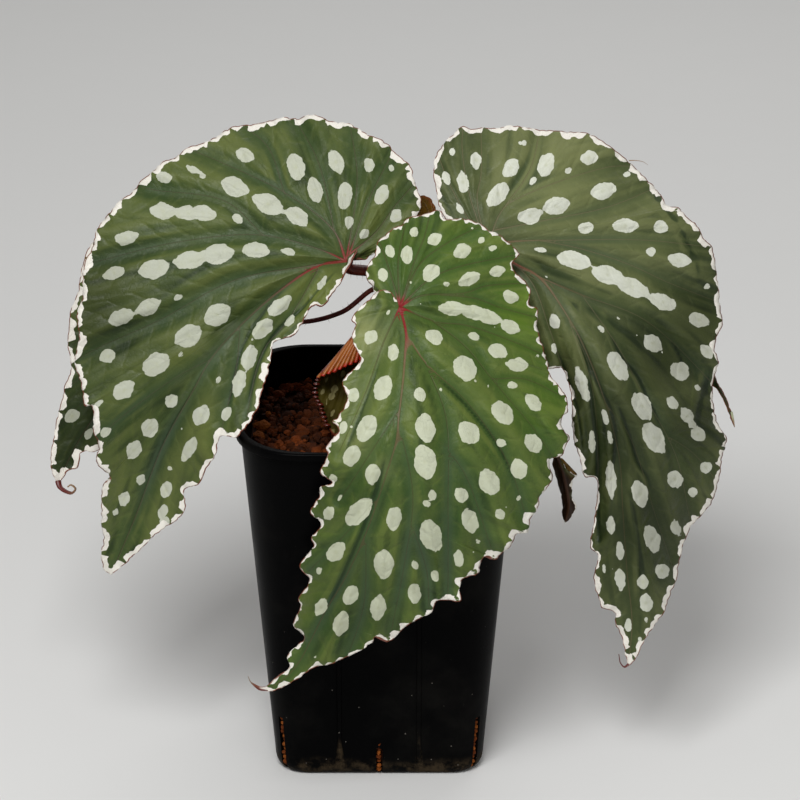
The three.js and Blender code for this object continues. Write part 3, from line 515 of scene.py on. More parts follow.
SIDE_VEIN_STEP = 8.5
SIDE_VEIN_SLANT = 0.85
MARGIN_REACH = 2.5
PATCH_RUN = (14, 34)
PATCH_BREAK = (1.5, 4.5)
PATCH_END = 1.2
PATCH_STEP = (2.5, 6.5)
PATCH_REACH = (0.7, 1.05)
PATCH_UNEVEN = (0.45, 1.2)
COOL_REACH = 2.4
LOOSE_FOLDS = ((1.0, 0.34, 50), (0.15, 1.1, 24))  # strength, how many per mm beside a vein, length
FOLD_DEPTH = 0.45
FOLD_FADE = (30, 40)  # at its start and at its end
# the ridge beside a fold is raised and painted lighter
RIDGE_SHARE, RIDGE_PLACE, RIDGE_WIDTH = 0.8, 2.5, 1.3  # the light ridge beside a fold, in its widths
WAVE_HEIGHT = 0.5
WAVE_LENGTH = 22
RUFFLE_HEIGHT = 1.0
RUFFLE_LENGTH = 11
RUFFLE_REACH = 6
HERRING_DEPTH = 0.22
MARGIN_FAR = 9.0  # stands for a place with no white margin near
TUCK_FROM = 0.9
LEAVES = {
    "leaf_left": dict(
        pleat=1.8, drop=1.7, tooth=0.5, look="dark", tuck=(0.0, 1.6), rib_columns=230,
        fan_columns=(16, 380), rows=(26, 50),
        midrib=[(346, 261, 12), (320, 265, 16), (282, 289, 24), (239, 327, 31), (211, 359, 33),
                (194, 389, 32), (163, 445, 25), (135, 518, 14), (111, 575, 6)],
        margins=[
            (0.94, [(123, 566, 7), (138, 552, 10), (156, 535, 14), (173, 523, 17), (182, 516, 18),
                    (186, 503, 20), (184, 490, 21), (198, 485, 25), (206, 469, 28), (215, 456, 32),
                    (221, 436, 36), (234, 438, 38), (241, 433, 39), (257, 410, 38), (261, 395, 36),
                    (267, 377, 34), (271, 359, 32), (275, 342, 29), (285, 338, 28), (294, 335, 27),
                    (309, 311, 24), (312, 306, 23), (323, 306, 22), (332, 295, 20), (338, 287, 18),
                    (344, 275, 16), (351, 262, 14.5), (357, 250, 13.5)]),
            (0.22, [(104, 570, 4), (101, 554, 4), (103, 538, 4), (101, 522, 5), (101, 506, 6),
                    (103, 484, 8), (110, 479, 9), (104, 471, 8), (96, 463, 7), (97, 453, 7), (98, 444, 6),
                    (93.5, 433, 5), (92.5, 424, 5), (93.5, 414, 5), (90.5, 407, 4), (84.5, 406, 4),
                    (82.5, 396, 3.5), (80.5, 384, 3), (74, 361, 2), (78, 344, 2), (78, 328, 2),
                    (76, 315, 1), (82, 298, 1), (82, 280, 0), (83, 266, -1), (92, 247, -2),
                    (96, 230, -3), (104, 219, -4), (118, 202, -5), (132, 192, -6), (138, 183, -7),
                    (148, 175, -7), (162, 162, -8), (175, 157, -9), (188, 147, -10),
                    (203, 143, -10), (216, 136, -11), (231, 127, -12), (244, 125, -12),
                    (264, 122, -12), (283, 117, -12), (298, 118, -12), (313, 114, -11),
                    (331, 121, -10), (349, 123, -8), (368, 134, -6), (386, 142, -4),
                    (397, 154, -2), (411, 166, 0), (414, 178, 2), (418, 190, 3), (422, 204, 4),
                    (412, 223, 6), (395, 240, 8), (380, 250, 9), (371, 256, 9.5), (365, 260, 10),
                    (358, 258, 11)]),
        ],
        veins=[
            [(346, 261), (310, 266), (235, 280), (160, 320), (98, 348), (76, 360)],
            [(346, 261), (324, 251), (261, 235), (178, 242), (91, 263)],
            [(346, 261), (334, 231), (287, 194), (225, 164), (192, 150)],
            [(334, 231), (327, 194), (317, 159), (296, 120)],
            [(346, 261), (355, 206), (357, 171), (350, 125)],
            [(350, 252), (367, 204), (383, 171), (394, 150)],
            [(350, 254), (376, 232), (395, 206), (416, 182)],
            [(211, 359), (175, 378), (123, 416), (96, 440)],
            [(285, 195), (268, 147), (244, 126)],
            [(263, 235), (225, 201), (154, 190), (138, 186)],
            [(318, 270), (287, 322), (263, 351), (246, 420)],
            [(240, 330), (236, 370), (219, 440)],
        ],
        glow=[(318, 292, 30, 0.6), (268, 372, 26, 0.5), (225, 440, 24, 0.4), (372, 225, 30, 0.35)],
        shade=[(150, 430, 70, 0.25), (90, 308, 64, 0.8)],
        white_share=[(366, 254, 11, 0.25), (350, 262, 14, 0.5), (325, 300, 20, 0.45),
                     (300, 325, 20, 0.45), (275, 345, 14, 0.5)],
        strong=(0, 2), rib_fade=(34, 60),
        cool=[(215, 335, 100, 0.4), (140, 260, 70, 0.35), (290, 190, 60, 0.3), (158, 450, 60, 0.8)],
        folds=[
            (1.3, 0.7, [(246, 415), (256, 372), (267, 345), (284, 324), (302, 309), (319, 289),
                        (338, 268), (343, 258)]),
            (1.0, 0.6, [(226, 420), (232, 390), (240, 355), (251, 331), (280, 294), (300, 280)]),
        ],
        spots=[
            (245, 155, 20, 14), (296, 167, 28, 18), (315, 190, 25, 15), (336, 162, 26, 16),
            (345, 195, 28, 15), (369, 165, 16, 11), (382, 195, 21, 14), (349, 223, 13, 9),
            (364, 234, 12, 8), (396, 216, 15, 12), (391, 168, 6, 6), (235, 187, 30, 19),
            (268, 204, 34, 20), (297, 216, 26, 17), (237, 219, 12, 9), (256, 250, 27, 16),
            (288, 252, 14, 8), (322, 283, 14, 6), (164, 177, 16, 11), (193, 169, 15, 8),
            (202, 176, 6, 6), (163, 211, 26, 17), (188, 213, 26, 15), (203, 213, 26, 16),
            (126, 238, 25, 14), (114, 273, 21, 13), (154, 269, 31, 20), (190, 260, 34, 18),
            (217, 254, 34, 20), (178, 298, 9, 6), (121, 317, 28, 16), (149, 307, 27, 16),
            (217, 315, 29, 22), (188, 336, 29, 22), (181, 354, 6, 6), (156, 364, 30, 22),
            (108, 356, 17, 14), (124, 390, 25, 17), (171, 401, 15, 13), (201, 415, 22, 16),
            (150, 428, 20, 17), (134, 450, 20, 15), (106, 432, 12, 9), (218, 380, 7, 5),
            (249, 358, 29, 14), (239, 383, 29, 13), (279, 307, 30, 14), (263, 329, 27, 16),
            (290, 321, 14, 7), (226, 414, 15, 10), (189, 449, 28, 12), (170, 468, 4, 4),
            (141, 480, 11, 9), (166, 490, 17, 12), (124, 499, 16, 12), (116, 512, 8, 5),
            (163, 512, 15, 9), (165, 522, 12, 10), (98, 404, 16, 4),
        ]),
    "leaf_centre": dict(
        pleat=1.9, drop=1.6, tooth=0.4, look="bright", tuck=(0.0, 1.6), rib_columns=230,
        fan_columns=(44, 170), rows=(34, 44),
        midrib=[(400, 307, 42), (406, 333, 47), (405, 355, 51), (403, 381, 55), (399, 415, 59),
                (396, 442, 61), (387, 472, 60), (366, 533, 52), (344, 580, 44), (326, 610, 39),
                (310, 642, 33), (299, 662, 29), (285, 678, 26), (264, 689, 24), (250, 682, 24)],
        margins=[
            (0.86, [(263, 687, 24), (278, 676, 25), (289, 667, 26), (287, 656, 26), (297, 645, 27),
                    (304, 637, 28), (293, 625, 27), (300, 607, 30), (298, 599, 30), (309, 580, 34),
                    (299, 567, 33), (313, 546, 38), (311, 538, 39), (321, 524, 42), (310, 513, 41),
                    (319, 495, 46), (320, 487, 48), (332, 483, 51), (320, 473, 51), (328, 453, 56),
                    (326, 448, 56), (332, 439, 56), (339, 430, 56), (332, 421, 54), (336, 418, 54),
                    (347, 398, 52), (342, 384, 50), (345, 377, 49), (361, 359, 49), (354, 347, 46),
                    (352, 335, 44), (355, 324, 42), (351, 320, 41), (360, 307, 40.5), (368, 300, 41),
                    (372, 296, 41.5), (377, 291.5, 42), (385, 289.5, 42), (391, 292, 42), (396, 299, 42)]),
            (0.62, [(268, 692, 24), (296, 680, 25), (316, 667, 27), (332, 664, 28), (345, 658, 29),
                    (360, 651, 31), (373, 642, 32), (376, 637, 33), (390, 642, 30), (400, 632, 32),
                    (410, 624, 35), (424, 617, 35), (432, 612, 36), (438, 601, 37), (461, 601, 35),
                    (460, 589, 36), (463, 579, 37), (479, 574, 36), (481, 562, 37), (486, 556, 37.5),
                    (495, 560, 33.5), (503, 553, 34), (511, 546, 35), (518, 534, 34), (528, 533, 33),
                    (531, 519, 33), (539, 507, 32), (540, 496, 33), (547, 489, 32), (553, 478, 31),
                    (550, 460, 32), (562, 456, 30), (566, 446, 30), (570, 438, 29), (563, 428, 29),
                    (562, 418, 29), (568, 412, 27), (567, 398, 27), (561, 388, 27), (550, 374, 28),
                    (548, 362, 27), (544, 349, 26), (540, 337, 26), (537, 325, 25), (538, 309, 24),
                    (529, 304, 25), (531, 291, 24), (527, 283, 24), (515, 271, 25), (512, 263, 25),
                    (520, 254, 23), (506, 240, 23), (498, 233, 22), (490, 231, 23), (481, 224, 22),
                    (463, 218, 22), (453, 219, 23), (444, 218, 23), (440, 210, 22), (421, 215, 24),
                    (407, 218, 25), (401, 225, 26), (394, 227, 27), (386, 234, 28), (378, 241, 29),
                    (374, 256, 32), (368, 264, 33), (365.5, 276, 34), (369, 283, 34.5), (372.5, 287, 35),
                    (374.5, 293, 36), (382, 300, 37), (394, 303, 40)]),
        ],
        veins=[
            [(400, 307), (394, 286), (386, 260), (380, 243)],
            [(400, 307), (398, 265), (401, 243), (406, 222)],
            [(400, 307), (415, 260), (424, 238), (429, 218)],
            [(400, 307), (420, 264), (444, 245), (478, 227)],
            [(400, 307), (430, 279), (458, 267), (516, 255)],
            [(400, 307), (420, 296), (465, 293), (486, 286), (530, 283)],
            [(441, 295), (474, 298), (499, 307), (538, 318)],
            [(400, 307), (437, 322), (465, 325), (517, 343), (546, 356)],
            [(430, 319), (465, 346), (492, 379), (534, 429), (556, 462)],
            [(492, 379), (525, 379), (562, 396)],
            [(406, 333), (425, 362), (468, 403), (507, 461), (528, 522)],
            [(425, 362), (446, 417), (448, 507), (448, 600)],
            [(446, 448), (465, 474), (492, 550)],
            [(400, 427), (413, 496), (405, 561), (391, 632)],
            [(413, 528), (427, 572), (429, 606)],
            [(366, 541), (364, 604), (348, 656)],
            [(400, 307), (384, 341), (367, 389), (340, 450)],
            [(399, 410), (379, 440), (340, 500)],
            [(376, 500), (340, 540), (310, 570)],
        ],
        glow=[(440, 245, 60, 0.22), (530, 310, 40, 0.6), (545, 400, 40, 0.3)],
        pale=[(362, 335, 26, 0.75), (345, 400, 36, 0.35), (351, 440, 20, 0.45), (382, 470, 13, 0.3)],
        folds=[
            (0.5, 1.4, [(408, 345), (416, 385), (422, 440), (424, 500), (420, 560)]),
            (0.8, 0.8, [(430, 370), (470, 410), (500, 450), (520, 500)]),
            (0.8, 0.8, [(388, 450), (370, 510), (345, 570), (318, 625)]),
            (0.8, 0.6, [(384, 350), (368, 395), (348, 445), (335, 480)]),
        ],
        shade=[(345, 595, 65, 0.4), (430, 560, 55, 0.22), (331, 495, 32, 0.38)],
        margin=1.6, patch=(7, 16), flush=13.0, strong=(10,), rib_fade=(42, 66),
        white_share=[(455, 585, 105, 1.7)],
        cool=[(425, 560, 75, 0.75), (345, 600, 60, 0.7), (440, 470, 50, 0.5), (500, 500, 50, 0.35)],
        spots=[
            (414, 232, 12, 9), (435, 239, 16, 12), (462, 251, 20, 14), (481, 240, 7, 6),
            (493, 248, 8, 7), (390, 251, 14, 9), (407, 255, 19, 12), (431, 273, 21, 15),
            (469, 279, 23, 14), (497, 271, 16, 11), (446, 284, 5, 3), (383, 275, 13, 10),
            (511, 297, 17, 13), (453, 308, 28, 14), (473, 312, 30, 14), (489, 317, 26, 14),
            (510, 327, 20, 14), (434, 337, 19, 15), (474, 336, 12, 8), (498, 351, 20, 14),
            (517, 365, 23, 14), (465, 368, 29, 22), (393, 352, 17, 11), (371, 337, 15, 13),
            (383, 388, 27, 18), (420, 395, 17, 12), (440, 389, 4, 4), (488, 386, 4, 4),
            (512, 385, 10, 8), (533, 402, 21, 14), (503, 413, 29, 19), (537, 356, 5, 4),
            (367, 428, 29, 19), (352, 456, 24, 16), (373, 474, 21, 15), (353, 395, 14, 12),
            (343, 428, 13, 9), (425, 428, 31, 20), (425, 462, 36, 23), (426, 503, 8, 7),
            (432, 496, 13, 9), (431, 536, 34, 22), (359, 512, 36, 19), (394, 518, 24, 16),
            (329, 513, 16, 11), (336, 552, 24, 16), (384, 564, 29, 20), (319, 571, 7, 6),
            (415, 565, 10, 7), (435, 576, 12, 8), (333, 478, 9, 8), (339, 499, 7, 4),
            (351, 595, 20, 14), (321, 607, 20, 12), (341, 624, 26, 16), (378, 608, 27, 16),
            (414, 593, 21, 14), (315, 657, 3, 3), (469, 433, 26, 21), (489, 482, 29, 20),
            (461, 495, 17, 14), (470, 521, 26, 16), (501, 443, 10, 9), (533, 443, 22, 17),
            (519, 469, 21, 17), (519, 498, 6, 6), (500, 514, 11, 10), (505, 507, 4, 4),
            (459, 559, 17, 10), (478, 541, 5, 4), (411, 282, 3, 3), (498, 444, 4, 3),
            (388, 313, 8, 4),
        ]),
    "leaf_right": dict(
        pleat=1.8, drop=1.7, tooth=0.45, look="grey", rib_columns=230,
        fan_columns=(16, 300), rows=(28, 52),
        midrib=[(487, 247, 10), (517, 265, 14), (539, 277, 17), (568, 317, 20), (586, 351, 21),
                (604, 399, 20), (619, 456, 18), (623, 514, 14), (627, 571, 9), (632, 623, 4),
                (628, 667, 0)],
        margins=[
            (0.95, [(625, 650, 1), (621, 634, 1), (616, 624, 2), (615, 612, 3), (603, 608, 3),
                    (599, 598, 4), (596, 589, 5), (594, 576, 6), (598, 555, 8), (591, 548, 8),
                    (594, 523, 10), (596, 508, 11), (596, 478, 12), (585, 476, 12), (580, 458, 13),
                    (574, 439, 13), (572, 415, 13), (572, 399, 13), (568, 382, 13), (561, 367, 12),
                    (549, 369, 12), (536, 350, 12), (520, 318, 12), (505, 285, 11),
                    (496, 261, 10.5)]),
            (0.42, [(636, 659, 0), (642, 646, 0), (649, 634, -1), (657, 623, -2), (665, 611, -3),
                    (671, 594, -5), (677, 579, -6), (680, 560, -8), (687, 536, -9),
                    (693, 525, -10), (703, 514, -11), (712, 503, -12), (717, 488, -13),
                    (721, 471, -14), (722, 460, -14), (727, 438, -16), (721, 429, -16),
                    (715, 411, -16), (713, 394, -17), (714, 379, -17), (719, 362, -18),
                    (715, 348, -18), (718, 335, -19), (723, 324, -20), (721, 311, -20),
                    (719, 288, -20), (716, 268, -20), (713, 248, -20), (704, 238, -19),
                    (696, 223, -19), (688, 218, -18), (680, 208, -18), (668, 205, -17),
                    (658, 190, -17), (648, 180, -16), (636, 168, -16), (624, 157, -15),
                    (600, 139, -14), (588, 133, -14), (564, 131, -13), (537, 129, -12),
                    (510, 125, -11), (498, 128, -10), (484, 127, -9), (472, 129, -8),
                    (462, 126, -7), (454, 133, -6), (442, 145, -4), (435, 157, -3), (433, 173, -1),
                    (436, 190, 1), (439, 207, 3), (452, 228, 6), (473, 244, 9)]),
        ],
        veins=[
            [(539, 277), (582, 295), (638, 316), (669, 339), (714, 385)],
            [(582, 295), (618, 347), (640, 388), (676, 456), (690, 520)],
            [(607, 405), (630, 437), (655, 514), (674, 571)],
            [(669, 437), (693, 453), (716, 480)],
            [(487, 247), (508, 242), (568, 240), (643, 240), (710, 247)],
            [(537, 240), (578, 248), (628, 264), (667, 282), (720, 303)],
            [(487, 247), (503, 209), (525, 195), (608, 167), (634, 166)],
            [(495, 230), (541, 221), (608, 207), (655, 188)],
            [(487, 247), (477, 199), (481, 175), (481, 127)],
            [(487, 247), (469, 193), (462, 146), (463, 127)],
            [(484, 246), (452, 189), (436, 150)],
            [(487, 247), (529, 278), (549, 327), (572, 399)],
            [(568, 318), (592, 387), (598, 456), (596, 533)],
            [(503, 209), (530, 170), (540, 130)],
        ],
        glow=[(560, 340, 30, 0.15)],
        # a painted sheen on the upper part of the blade
        pale=[(545, 175, 60, 0.42), (620, 225, 60, 0.25)],
        shade=[(606, 440, 75, 0.98), (665, 360, 55, 0.95), (706, 320, 55, 0.9), (640, 530, 80, 0.9),
               (700, 420, 50, 0.95), (720, 250, 50, 0.5)],
        margin=2.3, flush=16.0, strong=(0, 4), rib_fade=(26, 50),
        white_share=[(580, 400, 50, 0.55), (596, 520, 45, 0.55), (718, 395, 48, 0.6)],
        cool=[(600, 250, 70, 0.4), (685, 390, 55, 0.5)],
        folds=[
            (1.3, 0.75, [(568, 318), (576, 330), (590, 365), (602, 392), (610, 408), (615, 435),
                         (613, 470), (612, 520)]),
            (1.4, 0.8, [(576, 335), (588, 365), (591, 400), (597, 447), (597, 500), (601, 560)]),
            (1.2, 0.6, [(548, 336), (562, 363), (576, 405), (581, 435), (583, 470)]),
            (1.1, 0.6, [(604, 322), (611, 335), (620, 355), (630, 367), (638, 377), (648, 400),
                        (657, 417), (664, 440)]),
            (1.0, 0.6, [(614, 395), (630, 437), (638, 463), (647, 477), (654, 505)]),
            (0.5, 1.2, [(560, 300), (590, 310), (640, 345), (690, 400)]),
            (1.2, 0.6, [(664, 330), (674, 346), (682, 362), (688, 380), (691, 392)]),
            (1.4, 1.0, [(712, 362), (706, 384), (700, 404), (697, 424), (699, 444)]),
            (0.9, 0.8, [(640, 180), (672, 216), (690, 250), (704, 290)]),
            (0.7, 0.8, [(626, 480), (636, 520), (641, 560), (640, 610)]),
        ],
        spots=[
            (476, 160, 18, 11), (452, 152, 8, 6), (446, 177, 14, 8), (463, 182, 24, 11),
            (460, 209, 14, 6), (511, 168, 22, 14), (498, 194, 29, 17), (546, 165, 24, 17),
            (533, 181, 10, 6), (589, 158, 18, 14), (568, 170, 7, 6), (603, 191, 26, 17),
            (520, 143, 4, 4), (524, 143, 4, 4), (530, 216, 25, 16), (556, 206, 28, 18),
            (586, 228, 16, 13), (625, 226, 26, 15), (661, 227, 15, 13), (651, 252, 10, 9),
            (679, 260, 23, 15), (627, 174, 7, 6), (541, 250, 12, 6), (574, 260, 36, 18),
            (608, 275, 34, 18), (632, 287, 36, 18), (663, 302, 30, 16), (707, 286, 7, 7),
            (699, 320, 21, 14), (618, 318, 5, 4), (601, 329, 11, 6), (555, 322, 15, 10),
            (554, 349, 13, 6), (653, 343, 22, 16), (618, 366, 33, 17), (707, 352, 17, 11),
            (680, 371, 21, 18), (582, 383, 37, 12), (698, 388, 8, 6), (642, 406, 30, 19),
            (672, 403, 15, 10), (687, 416, 18, 12), (692, 425, 9, 8), (698, 434, 18, 14), (605, 417, 16, 6),
            (654, 438, 34, 20), (592, 442, 24, 7), (610, 438, 15, 5), (706, 467, 12, 12),
            (675, 479, 18, 16), (693, 492, 10, 10), (611, 479, 36, 11), (640, 494, 28, 16),
            (611, 525, 22, 9), (676, 528, 18, 10), (652, 539, 29, 16), (620, 552, 19, 9),
            (662, 571, 15, 15), (620, 580, 22, 10), (643, 582, 16, 11), (604, 568, 9, 5),
            (646, 603, 19, 14), (646, 620, 6, 3), (628, 625, 14, 8), (640, 639, 4, 4),
        ]),
    "leaf_back_left": dict(
        pleat=1.4, drop=1.6, tooth=0.4, look="dark", rib_columns=100,
        fan_columns=(20, 170), rows=(22, 34),
        midrib=[(256, 312, -10), (215, 318, -9), (170, 338, -9), (128, 372, -10), (92, 420, -12),
                (70, 457, -14), (58, 485, -15)],
        margins=[
            (0.9, [(69, 470, -14), (77, 468, -14), (82, 453, -14), (95, 452, -14),
                    (112, 447, -14), (126, 430, -13), (141, 420, -13), (150, 400, -12),
                    (172, 392, -12), (180, 372, -11), (204, 366, -11), (215, 348, -10),
                    (236, 342, -10), (248, 324, -10)]),
            (0.4, [(53, 475, -15), (50, 461, -16), (53, 439, -16), (58, 412, -16), (62, 399, -16),
                    (64, 387, -16), (70, 372, -16), (70, 359, -16), (67, 342, -16), (69, 325, -17),
                    (70, 311, -17), (77, 294, -17), (82, 266, -18), (91, 244, -18),
                    (106, 236, -18), (122, 226, -18), (146, 224, -18), (166, 226, -17),
                    (190, 232, -16), (214, 246, -15), (232, 258, -14), (246, 276, -13),
                    (254, 296, -11)]),
        ],
        veins=[
            [(256, 312), (200, 292), (140, 305), (72, 345)],
            [(256, 312), (210, 268), (150, 250), (98, 250)],
            [(170, 338), (120, 352), (64, 390)],
            [(128, 372), (90, 395), (56, 430)],
            [(200, 322), (170, 372), (150, 398)],
        ],
        shade=[(70, 440, 75, 0.95), (80, 350, 70, 0.6)],
        spots=[
            (72, 416, 16, 13), (88, 435, 14, 8), (104, 402, 20, 14), (100, 360, 18, 12),
            (100, 320, 22, 13), (112, 280, 22, 13), (150, 280, 26, 16), (135, 330, 26, 15),
            (165, 360, 20, 14), (190, 262, 24, 15), (200, 345, 16, 10), (130, 252, 14, 9),
        ]),
    "leaf_back_right": dict(
        pleat=1.2, drop=1.5, tooth=0.4, look="dark", rib_columns=90,
        fan_columns=(50, 80), rows=(22, 26),
        midrib=[(634, 254, -28), (656, 276, -27), (682, 312, -27), (702, 350, -28),
                (718, 384, -29), (729, 408, -30), (735, 427, -31)],
        margins=[
            (0.7, [(729, 414, -30), (722, 398, -30), (714, 387, -30), (700, 383, -30),
                    (684, 372, -31), (668, 368, -31), (656, 352, -32), (640, 346, -32),
                    (628, 328, -32), (616, 316, -32), (606, 296, -32), (604, 274, -31),
                    (616, 260, -30), (628, 257, -29)]),
            (0.6, [(732, 412, -31), (725, 395, -31), (716, 377, -32), (712, 360, -33),
                    (710, 342, -33), (706, 322, -34), (704, 300, -34), (697, 280, -35),
                    (690, 260, -35), (678, 244, -35), (664, 226, -35), (652, 212, -34),
                    (640, 198, -33), (626, 186, -33), (614, 190, -32), (608, 208, -31),
                    (610, 228, -30), (620, 245, -29)]),
        ],
        veins=[
            [(634, 254), (664, 254), (690, 268)],
            [(634, 254), (636, 224), (628, 190)],
            [(656, 276), (690, 292), (706, 318)],
            [(656, 276), (656, 312), (652, 350)],
            [(634, 254), (618, 282), (612, 308)],
        ],
        shade=[(716, 380, 70, 0.85)],
        white_share=[(726, 405, 45, 0.0)],
        spots=[
            (668, 270, 18, 11), (650, 236, 18, 11), (690, 320, 18, 12), (640, 300, 20, 13),
            (670, 335, 20, 13), (624, 214, 14, 9), (690, 290, 14, 9),
        ]),
    "leaf_back_middle": dict(
        pleat=1.3, drop=1.3, faces_back=True, tooth=0.4, look="turned", rib_columns=80,
        fan_columns=(90, 90), rows=(30, 30),
        midrib=[(440, 243, -9), (452, 262, -24), (460, 290, -42), (462, 320, -58), (460, 350, -70),
                (456, 386, -80)],
        margins=[
            (0.4, [(440, 372, -80), (420, 362, -77), (408, 344, -72), (394, 330, -67),
                    (390, 308, -59), (380, 290, -52), (381, 268, -43), (378, 250, -36),
                    (384, 230, -29), (392, 214, -24), (404, 204, -20), (417, 197, -17),
                    (428, 196, -15), (436, 208, -12), (437, 226, -10)]),
            (0.5, [(474, 378, -80), (492, 372, -79), (508, 356, -77), (524, 344, -74),
                    (532, 322, -68), (544, 304, -62), (543, 282, -54), (546, 262, -47),
                    (538, 242, -40), (530, 222, -33), (514, 208, -28), (498, 198, -24),
                    (480, 196, -21), (462, 198, -18), (451, 212, -14), (446, 228, -11)]),
        ],
        veins=[
            [(440, 243), (410, 240), (380, 255)],
            [(440, 243), (418, 216), (410, 200)],
            [(452, 262), (420, 290), (393, 325)],
            [(440, 243), (475, 222), (500, 199)],
            [(440, 243), (490, 240), (542, 258)],
            [(452, 262), (500, 285), (542, 300)],
            [(460, 290), (490, 330), (515, 350)],
        ],
        spots=[
            (404, 225, 15, 9), (400, 265, 18, 12), (400, 300, 18, 12), (425, 250, 15, 9),
            (420, 325, 20, 12), (438, 300, 18, 11), (440, 345, 18, 12), (485, 212, 16, 10),
            (510, 226, 18, 12), (480, 255, 18, 12), (520, 270, 20, 13), (490, 275, 15, 9),
            (510, 310, 20, 13), (480, 310, 18, 12), (476, 345, 18, 12), (500, 345, 14, 9),
            (455, 365, 12, 8), (465, 228, 10, 6),
        ]),
    "leaf_small": dict(
        pleat=0.5, drop=1.3, tooth=0.3, look="brown", rib_columns=60,
        fan_columns=(24, 50), rows=(16, 16),
        midrib=[(555, 452, 14), (562, 470, 12), (566.5, 488, 9), (569, 505, 7), (565, 523, 6)],
        margins=[
            (0.7, [(562, 515, 3), (562, 502, 2), (559, 489, 2), (555.5, 476, 4), (552, 464, 8)]),
            (0.7, [(569, 520, 6), (573, 514, 6), (576.5, 506, 5), (573, 499, 6), (572.5, 484, 8),
                    (573, 479, 8), (577, 475.5, 9), (572, 472.5, 10), (566, 468, 12), (561.5, 459, 13)]),
        ],
        veins=[],
        glow=[(565, 464, 4.5, 1.0), (569, 469, 4.5, 1.0), (573, 474, 3.5, 1.0), (573.5, 486, 2.5, 0.8),
              (573.5, 495, 3, 0.9)],
        margin=0.75, patch=(8, 16), rimless=2.0,
        white_share=[(562, 515, 12, 0.0), (559, 492, 14, 0.0), (554, 468, 14, 0.0), (562, 463, 6, 0.0)],
        spots=[(572, 473.5, 5, 2.6)]),
}


def blend(t, low, high, start, end):
    """The point at t on the line that passes start at low and end at high."""
    return (high - t) / (high - low) * start + (t - low) / (high - low) * end


def spline(points, per_span):
    """A centripetal Catmull-Rom line through the points, as an array."""
    p = np.asarray(points, float)
    p = np.vstack([2 * p[0] - p[1], p, 2 * p[-1] - p[-2]])
    out = []
    for a, b, c, d in zip(p, p[1:], p[2:], p[3:]):
        spans = [max(np.linalg.norm(v - u), 1e-6) ** 0.5 for u, v in ((a, b), (b, c), (c, d))]
        k0, k1, k2, k3 = np.cumsum([0] + spans)
        t = np.linspace(k1, k2, per_span, endpoint=False)[:, None]
        ab = blend(t, k0, k1, a, b)
        bc = blend(t, k1, k2, b, c)
        cd = blend(t, k2, k3, c, d)
        out.append(blend(t, k1, k2, blend(t, k0, k2, ab, bc), blend(t, k1, k3, bc, cd)))
    out.append(p[-2][None])
    return np.vstack(out)


def walk(line):
    """Distance walked along a line on the sheet."""
    return np.concatenate([[0], np.cumsum(np.linalg.norm(np.diff(line[:, :2], axis=0), axis=1))])


def at_share(line, shares):
    """Points at shares of the line's length."""
    along = walk(line)
    return np.stack([np.interp(shares * along[-1], along, line[:, k]) for k in range(line.shape[1])], axis=1)


def line_distance(xy, line):
    """From each point to a line: the distance, the line's direction, how far along it, and the side."""
    best = np.full(len(xy), np.inf)
    way = np.zeros((len(xy), 2))
    reach = np.zeros(len(xy))
    side = np.zeros(len(xy))
    walked = 0.0
    for a, b in zip(line[:-1], line[1:]):
        run = b - a
        length = np.hypot(*run)
        if length < 1e-6:
            continue
        run = run / length
        away = xy - a
        share = np.clip(away @ run, 0, length)
        off = away @ np.array([-run[1], run[0]])
        gap = np.hypot(away[:, 0] - share * run[0], away[:, 1] - share * run[1])
        nearer = gap < best
        best[nearer] = gap[nearer]
        way[nearer] = run
        reach[nearer] = walked + share[nearer]
        side[nearer] = np.sign(off[nearer])
        walked += length
    return best, way, reach, side


def smooth(x, low, high):
    t = np.clip((x - low) / (high - low), 0, 1)
    return t * t * (3 - 2 * t)


def toothed(line, size, seed):
    """A margin with fine teeth: each leans towards the tip, and their size varies."""
    along = walk(line)
    rng = random.Random(seed)
    count = max(3, int(along[-1] / TOOTH_STEP))
    peaks = np.array([(k + rng.uniform(0.1, 0.9)) * along[-1] / count for k in range(count)])
    sizes = [rng.uniform(0.2, 1.3) for _ in peaks]
    shares = np.linspace(0, 1, int(along[-1]))
    fine = at_share(line, shares)
    place = shares * along[-1]
    tangent = np.gradient(fine[:, :2], axis=0)
    tangent /= np.linalg.norm(tangent, axis=1)[:, None] + 1e-9
    outward = np.stack([tangent[:, 1], -tangent[:, 0]], axis=1)
    lift = np.zeros(len(fine))
    for peak, tall in zip(peaks, sizes):
        gap = place - peak
        lift = np.maximum(lift, tall * np.where(gap > 0, 1 - gap / TOOTH_FALL, 1 + gap / TOOTH_RISE))
    fade = smooth(place, 0, TOOTH_FADE[0]) * smooth(along[-1] - place, 0, TOOTH_FADE[1])
    fine[:, :2] += outward * (lift * fade * size / SHEET_UNIT)[:, None]
    return fine


